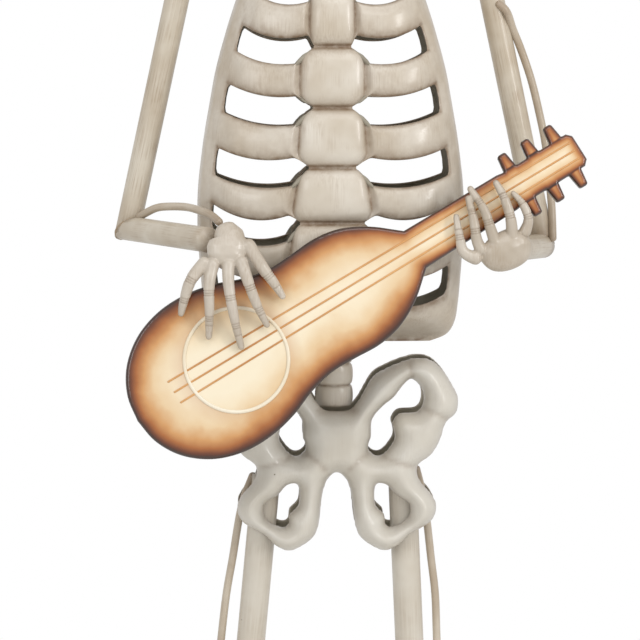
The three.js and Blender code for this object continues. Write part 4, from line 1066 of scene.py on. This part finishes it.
def guitar_body():
    mesh, spots, distance = cut_blank([guitar_outline(True)], 1.6)
    fall = np.clip(RIM_ROUND - distance, 0, RIM_ROUND)
    height = np.sqrt(RIM_ROUND ** 2 - fall ** 2) - RIM_ROUND
    plain, _ = outline_distance(spots, [guitar_outline(False)])
    set_places(mesh, [(x, y, z) for (x, y), z in zip(spots, height)])
    narrow = 1 - 0.62 * step(150, 225, spots[:, 0])
    set_values(mesh, "burst", np.where(plain > 0, np.minimum(distance, plain) / narrow,
                                       distance / 0.4))
    set_uv(mesh, spots * MM)
    border = [edge for edge in mesh.edges if edge.is_boundary]
    wall = bmesh.ops.extrude_edge_only(mesh, edges=border)["geom"]
    moved = [item for item in wall if isinstance(item, bmesh.types.BMVert)]
    bmesh.ops.translate(mesh, verts=moved, vec=(0, 0, RIM_ROUND - GUITAR_DEPTH))
    bmesh.ops.transform(mesh, matrix=guitar_place, verts=mesh.verts)
    piece = finished(mesh, "guitar_sheet", [sunburst, inside], ["guitar"])
    add_thickness(piece, SHEET, inner_slot=1)
    return piece


def raised_ring():
    mesh = bmesh.new()
    bmesh.ops.create_circle(mesh, segments=16, radius=1.0)
    bmesh.ops.scale(mesh, vec=(1.9, 1.7, 1), verts=mesh.verts)
    bmesh.ops.rotate(mesh, matrix=Matrix.Rotation(math.pi / 2, 3, "X"), verts=mesh.verts)
    bmesh.ops.translate(mesh, verts=mesh.verts, vec=(RING_RADIUS, 0, 0))
    bmesh.ops.spin(mesh, geom=[*mesh.verts, *mesh.edges], cent=(0, 0, 0), axis=(0, 0, 1),
                   angle=2 * math.pi, steps=144, use_merge=True)
    weld_seams(mesh)
    bmesh.ops.transform(mesh, matrix=guitar_place, verts=mesh.verts)
    return finished(mesh, "raised_ring", [ring_highlight_enamel])


def raised_strings():
    lines = []
    for k in (-1, 0, 1):
        start = [STRING_START, STRING_DRIFT + k * STRING_SPACING[0], -0.1, 1.1, 1.0]
        end = [STRING_END, k * STRING_SPACING[1], -0.1, 1.1, 1.0]
        lines.append(bar([start, end], 12, 8))
    mesh = merged(lines)
    bmesh.ops.transform(mesh, matrix=guitar_place, verts=mesh.verts)
    return finished(mesh, "raised_strings", [string_enamel])


# %% Sunburst enamel
def sunburst_enamel():
    material, tree = new_material("sunburst_enamel")
    coordinates = add_node(tree, "ShaderNodeTexCoord")
    place = coordinates.outputs["UV"]
    distance = add_node(tree, "ShaderNodeAttribute", attribute_name="burst").outputs["Fac"]
    wander = cloudy(tree, place, 45, detail=3)
    shift = spread(tree, wander, 0.3, 0.7, -7.0, 7.0)
    fade = spread(tree, distance, 0, 30)
    moved = add_node(tree, "ShaderNodeMath", {0: shift, 1: fade, 2: distance}, operation="MULTIPLY_ADD")
    share = spread(tree, moved.outputs[0], 0, 60)
    ramp = add_node(tree, "ShaderNodeValToRGB", {"Fac": share})
    # Within about 2 mm of the rim the near-black stops are partly the sunburst's dark brown and partly
    # painted shade of the rolled edge
    stops = [(0.0, "2a1509"), (0.035, "3a1c0c"), (0.09, "6b3514"), (0.17, "a3602a"), (0.3, "cb955c"),
             (0.5, "e0c399"), (0.8, "ebdabb"), (1.0, "eee1c6")]
    ramp.color_ramp.elements.remove(ramp.color_ramp.elements[1])
    ramp.color_ramp.elements[0].position = stops[0][0]
    ramp.color_ramp.elements[0].color = linear(stops[0][1])
    for position, colour in stops[1:]:
        ramp.color_ramp.elements.new(position).color = linear(colour)
    # Painted shade: a soft brown band just outside the raised ring
    away = add_node(tree, "ShaderNodeVectorMath", {0: place}, operation="LENGTH").outputs["Value"]
    outside = spread(tree, away, (RING_RADIUS + 1) * MM, (RING_RADIUS + 16) * MM, 1.0, 0.0)
    near = add_node(tree, "ShaderNodeMath", {0: away, 1: (RING_RADIUS - 1) * MM}, operation="GREATER_THAN")
    ring_shade = add_node(tree, "ShaderNodeMath", {0: outside, 1: near.outputs[0]}, operation="MULTIPLY")
    veil = add_node(tree, "ShaderNodeMath", {0: ring_shade.outputs[0], 1: 0.4}, operation="MULTIPLY")
    shaded = blended(tree, veil.outputs[0], ramp.outputs["Color"], linear("bb7f45"))
    shader = add_node(tree, "ShaderNodeBsdfPrincipled", {
        "Base Color": shaded, "Roughness": 0.3, "IOR": 1.5, "Coat Weight": 0.6, "Coat Roughness": 0.08,
    })
    add_node(tree, "ShaderNodeOutputMaterial", {"Surface": shader.outputs[0]})
    return material


sunburst = sunburst_enamel()
# The ring's enamel is whiter than the sheet around it: the sheet's cream with a painted highlight on the
# raised ring
ring_highlight_enamel = bone_enamel("ring_highlight_enamel", light="efe6d2", dark="e4d6bb", streak_share=0.1)
string_enamel = bone_enamel("string_enamel", light="d9a468", dark="c08447", streak_share=0.2)
guitar_body()
raised_ring()
raised_strings()

# %% [markdown]
# ## Legs, feet and base plate
#
# The thigh tubes come down out of the pelvis to a ball at each knee, a thinner tube and a
# bent rod make the shin, and cast feet stand on a plate. None of it below the middle of
# the thighs is in the photograph, so it follows the same way of making, plainly.

# %% Leg tubes, rods and knees
LEGS = {
    "right": {"hip": (-67, 0, 826), "knee": (-105, -6, 425), "ankle": (-122, 12, 62)},
    "left": {"hip": (75, 0, 826), "knee": (93, -6, 425), "ankle": (104, 12, 62)},
}
THIGH_RODS = {
    "right": [
        [-80, 2, 828], [-92, 3, 796], [-103, 2, 735], [-109, 1, 701], [-115, 0, 651],
        [-122, -2, 585], [-125, -4, 520], [-126, -5, 465], [-116, -6, 436],
    ],
    "left": [
        [89, 2, 835], [98, 3, 798], [106, 2, 734], [110, 1, 700], [112, 0, 650], [115, -2, 585],
        [116.5, -4, 520], [115, -5, 465], [104, -6, 436],
    ],
}
SHIN_RODS = {
    "right": [
        [-116, -5, 410], [-131, -1, 380], [-139, 3, 300], [-143, 8, 200], [-141, 11, 110],
        [-130, 12, 50],
    ],
    "left": [
        [104, -5, 410], [118, -1, 380], [125, 3, 300], [128, 8, 200], [124, 11, 110],
        [112, 12, 50],
    ],
}
KNEE_RADII = (21, 22, 26)


def knee_ball(place):
    mesh = bmesh.new()
    bmesh.ops.create_uvsphere(mesh, u_segments=48, v_segments=32, radius=1.0)
    wash = []
    for vert in mesh.verts:
        x, y, z = vert.co
        # The kneecap stands out at the front, and a groove parts the two joint knobs below
        cap = math.exp(-((x / 0.45) ** 2 + ((z - 0.1) / 0.42) ** 2)) if y < 0 else 0
        ring = math.exp(-((math.hypot(x / 0.62, (z - 0.1) / 0.6) - 1) / 0.16) ** 2) if y < 0 else 0
        groove = math.exp(-(x / 0.14) ** 2) * (1 if z < -0.35 or y > 0 else 0)
        vert.co *= 1 + 0.09 * cap - 0.05 * ring - 0.06 * groove
        # The ring round the kneecap and the groove are darkened: brown wash and painted shade
        wash.append(0.55 * ring + 0.5 * groove)
    set_values(mesh, "wash", wash)
    bmesh.ops.scale(mesh, vec=KNEE_RADII, verts=mesh.verts)
    bmesh.ops.translate(mesh, vec=place, verts=mesh.verts)
    return mesh


for side, leg in LEGS.items():
    finished(tube(leg["hip"], leg["knee"], 14.9, end_darkening=(0.3, 0.5)), f"thigh_tube_{side}",
             [thigh_enamel], [f"thigh_{side}"])
    finished(tube(leg["knee"], leg["ankle"], 12.7, end_darkening=(0.5, 0.5)), f"shin_tube_{side}",
             [thigh_enamel], [f"shin_{side}"])
    finished(knee_ball(leg["knee"]), f"knee_joint_{side}", [cast_enamel], [f"knee_{side}"])
    finished(bone_rod(THIGH_RODS[side]), f"thigh_bone_rod_{side}", [rod_enamel],
             [f"thigh_rod_{side}"])
    finished(bone_rod(SHIN_RODS[side]), f"shin_bone_rod_{side}", [rod_enamel], [f"shin_rod_{side}"])

# %% [markdown]
# ## Finish of the skull, the feet and the base plate
#
# These lie outside the photograph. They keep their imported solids, whose mesh stays as it is,
# and take a finish only: sheet enamel on the pressed skull, casting enamel on the feet, and
# a darker grey-brown enamel on the plate, which catches dirt from the ground.

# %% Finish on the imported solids
plate_enamel = bone_enamel("plate_enamel", light="756a5c", dark="63594d", glaze_and_shade="40372e",
                           streak_share=0.15, dents=0.08)
SOLIDS_WITH_FINISH = {
    "skull": pressed_enamel, "foot_right": cast_enamel, "foot_left": cast_enamel,
    "base_plate": plate_enamel,
}
for node, enamel in SOLIDS_WITH_FINISH.items():
    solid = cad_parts[node]
    for material_slot in solid.material_slots:
        material_slot.material = enamel
    print(f"{node}: {len(solid.material_slots)} slot with {enamel.name}")

# %% [markdown]
# ## Lights, floor and background
#
# Plain studio light: a narrow panel at the front right draws the upright bright marks on the
# beads, weaker ones stand at the left and above, and a white surround gives most of the light.

# %% Studio
def panel(name, place, aim, size, power):
    data = bpy.data.lights.new(name, "AREA")
    data.shape = "RECTANGLE"
    data.size, data.size_y = size
    data.energy = power
    light = bpy.data.objects.new(name, data)
    light.location = place
    light.rotation_mode = "QUATERNION"
    light.rotation_quaternion = (Vector(aim) - Vector(place)).to_track_quat("-Z", "Y")
    bpy.context.scene.collection.objects.link(light)
    return light


panel("key_panel", (1.7, -1.7, 1.75), (0, 0, 1.1), (0.35, 1.3), 16)
panel("fill_panel", (-1.6, -2.4, 1.9), (0, 0, 1.1), (0.9, 1.2), 12)
panel("top_panel", (0.3, -1.6, 3.0), (0, 0, 1.0), (1.6, 1.2), 14)

world = bpy.data.worlds.new("surround")
world.use_nodes = True
surround = world.node_tree
surround.nodes.clear()
seen = add_node(surround, "ShaderNodeBackground", {"Color": linear("ffffff"), "Strength": 1.0})
lighting = add_node(surround, "ShaderNodeBackground", {"Color": linear("ffffff"), "Strength": 0.72})
path = add_node(surround, "ShaderNodeLightPath")
both = add_node(surround, "ShaderNodeMixShader", {
    "Fac": path.outputs["Is Camera Ray"], 1: lighting.outputs[0], 2: seen.outputs[0],
})
add_node(surround, "ShaderNodeOutputWorld", {"Surface": both.outputs[0]})
bpy.context.scene.world = world
bpy.context.scene.view_settings.view_transform = "Standard"

floor_mesh = bmesh.new()
bmesh.ops.create_circle(floor_mesh, cap_ends=True, segments=96, radius=2.4)
floor_data = bpy.data.meshes.new("floor")
floor_mesh.to_mesh(floor_data)
floor_mesh.free()
floor = bpy.data.objects.new("floor", floor_data)
bpy.context.scene.collection.objects.link(floor)
floor_paint, floor_tree = new_material("floor_paint")
floor_shader = add_node(floor_tree, "ShaderNodeBsdfPrincipled", {
    "Base Color": linear("f2f1ee"), "Roughness": 0.7,
})
add_node(floor_tree, "ShaderNodeOutputMaterial", {"Surface": floor_shader.outputs[0]})
floor_data.materials.append(floor_paint)
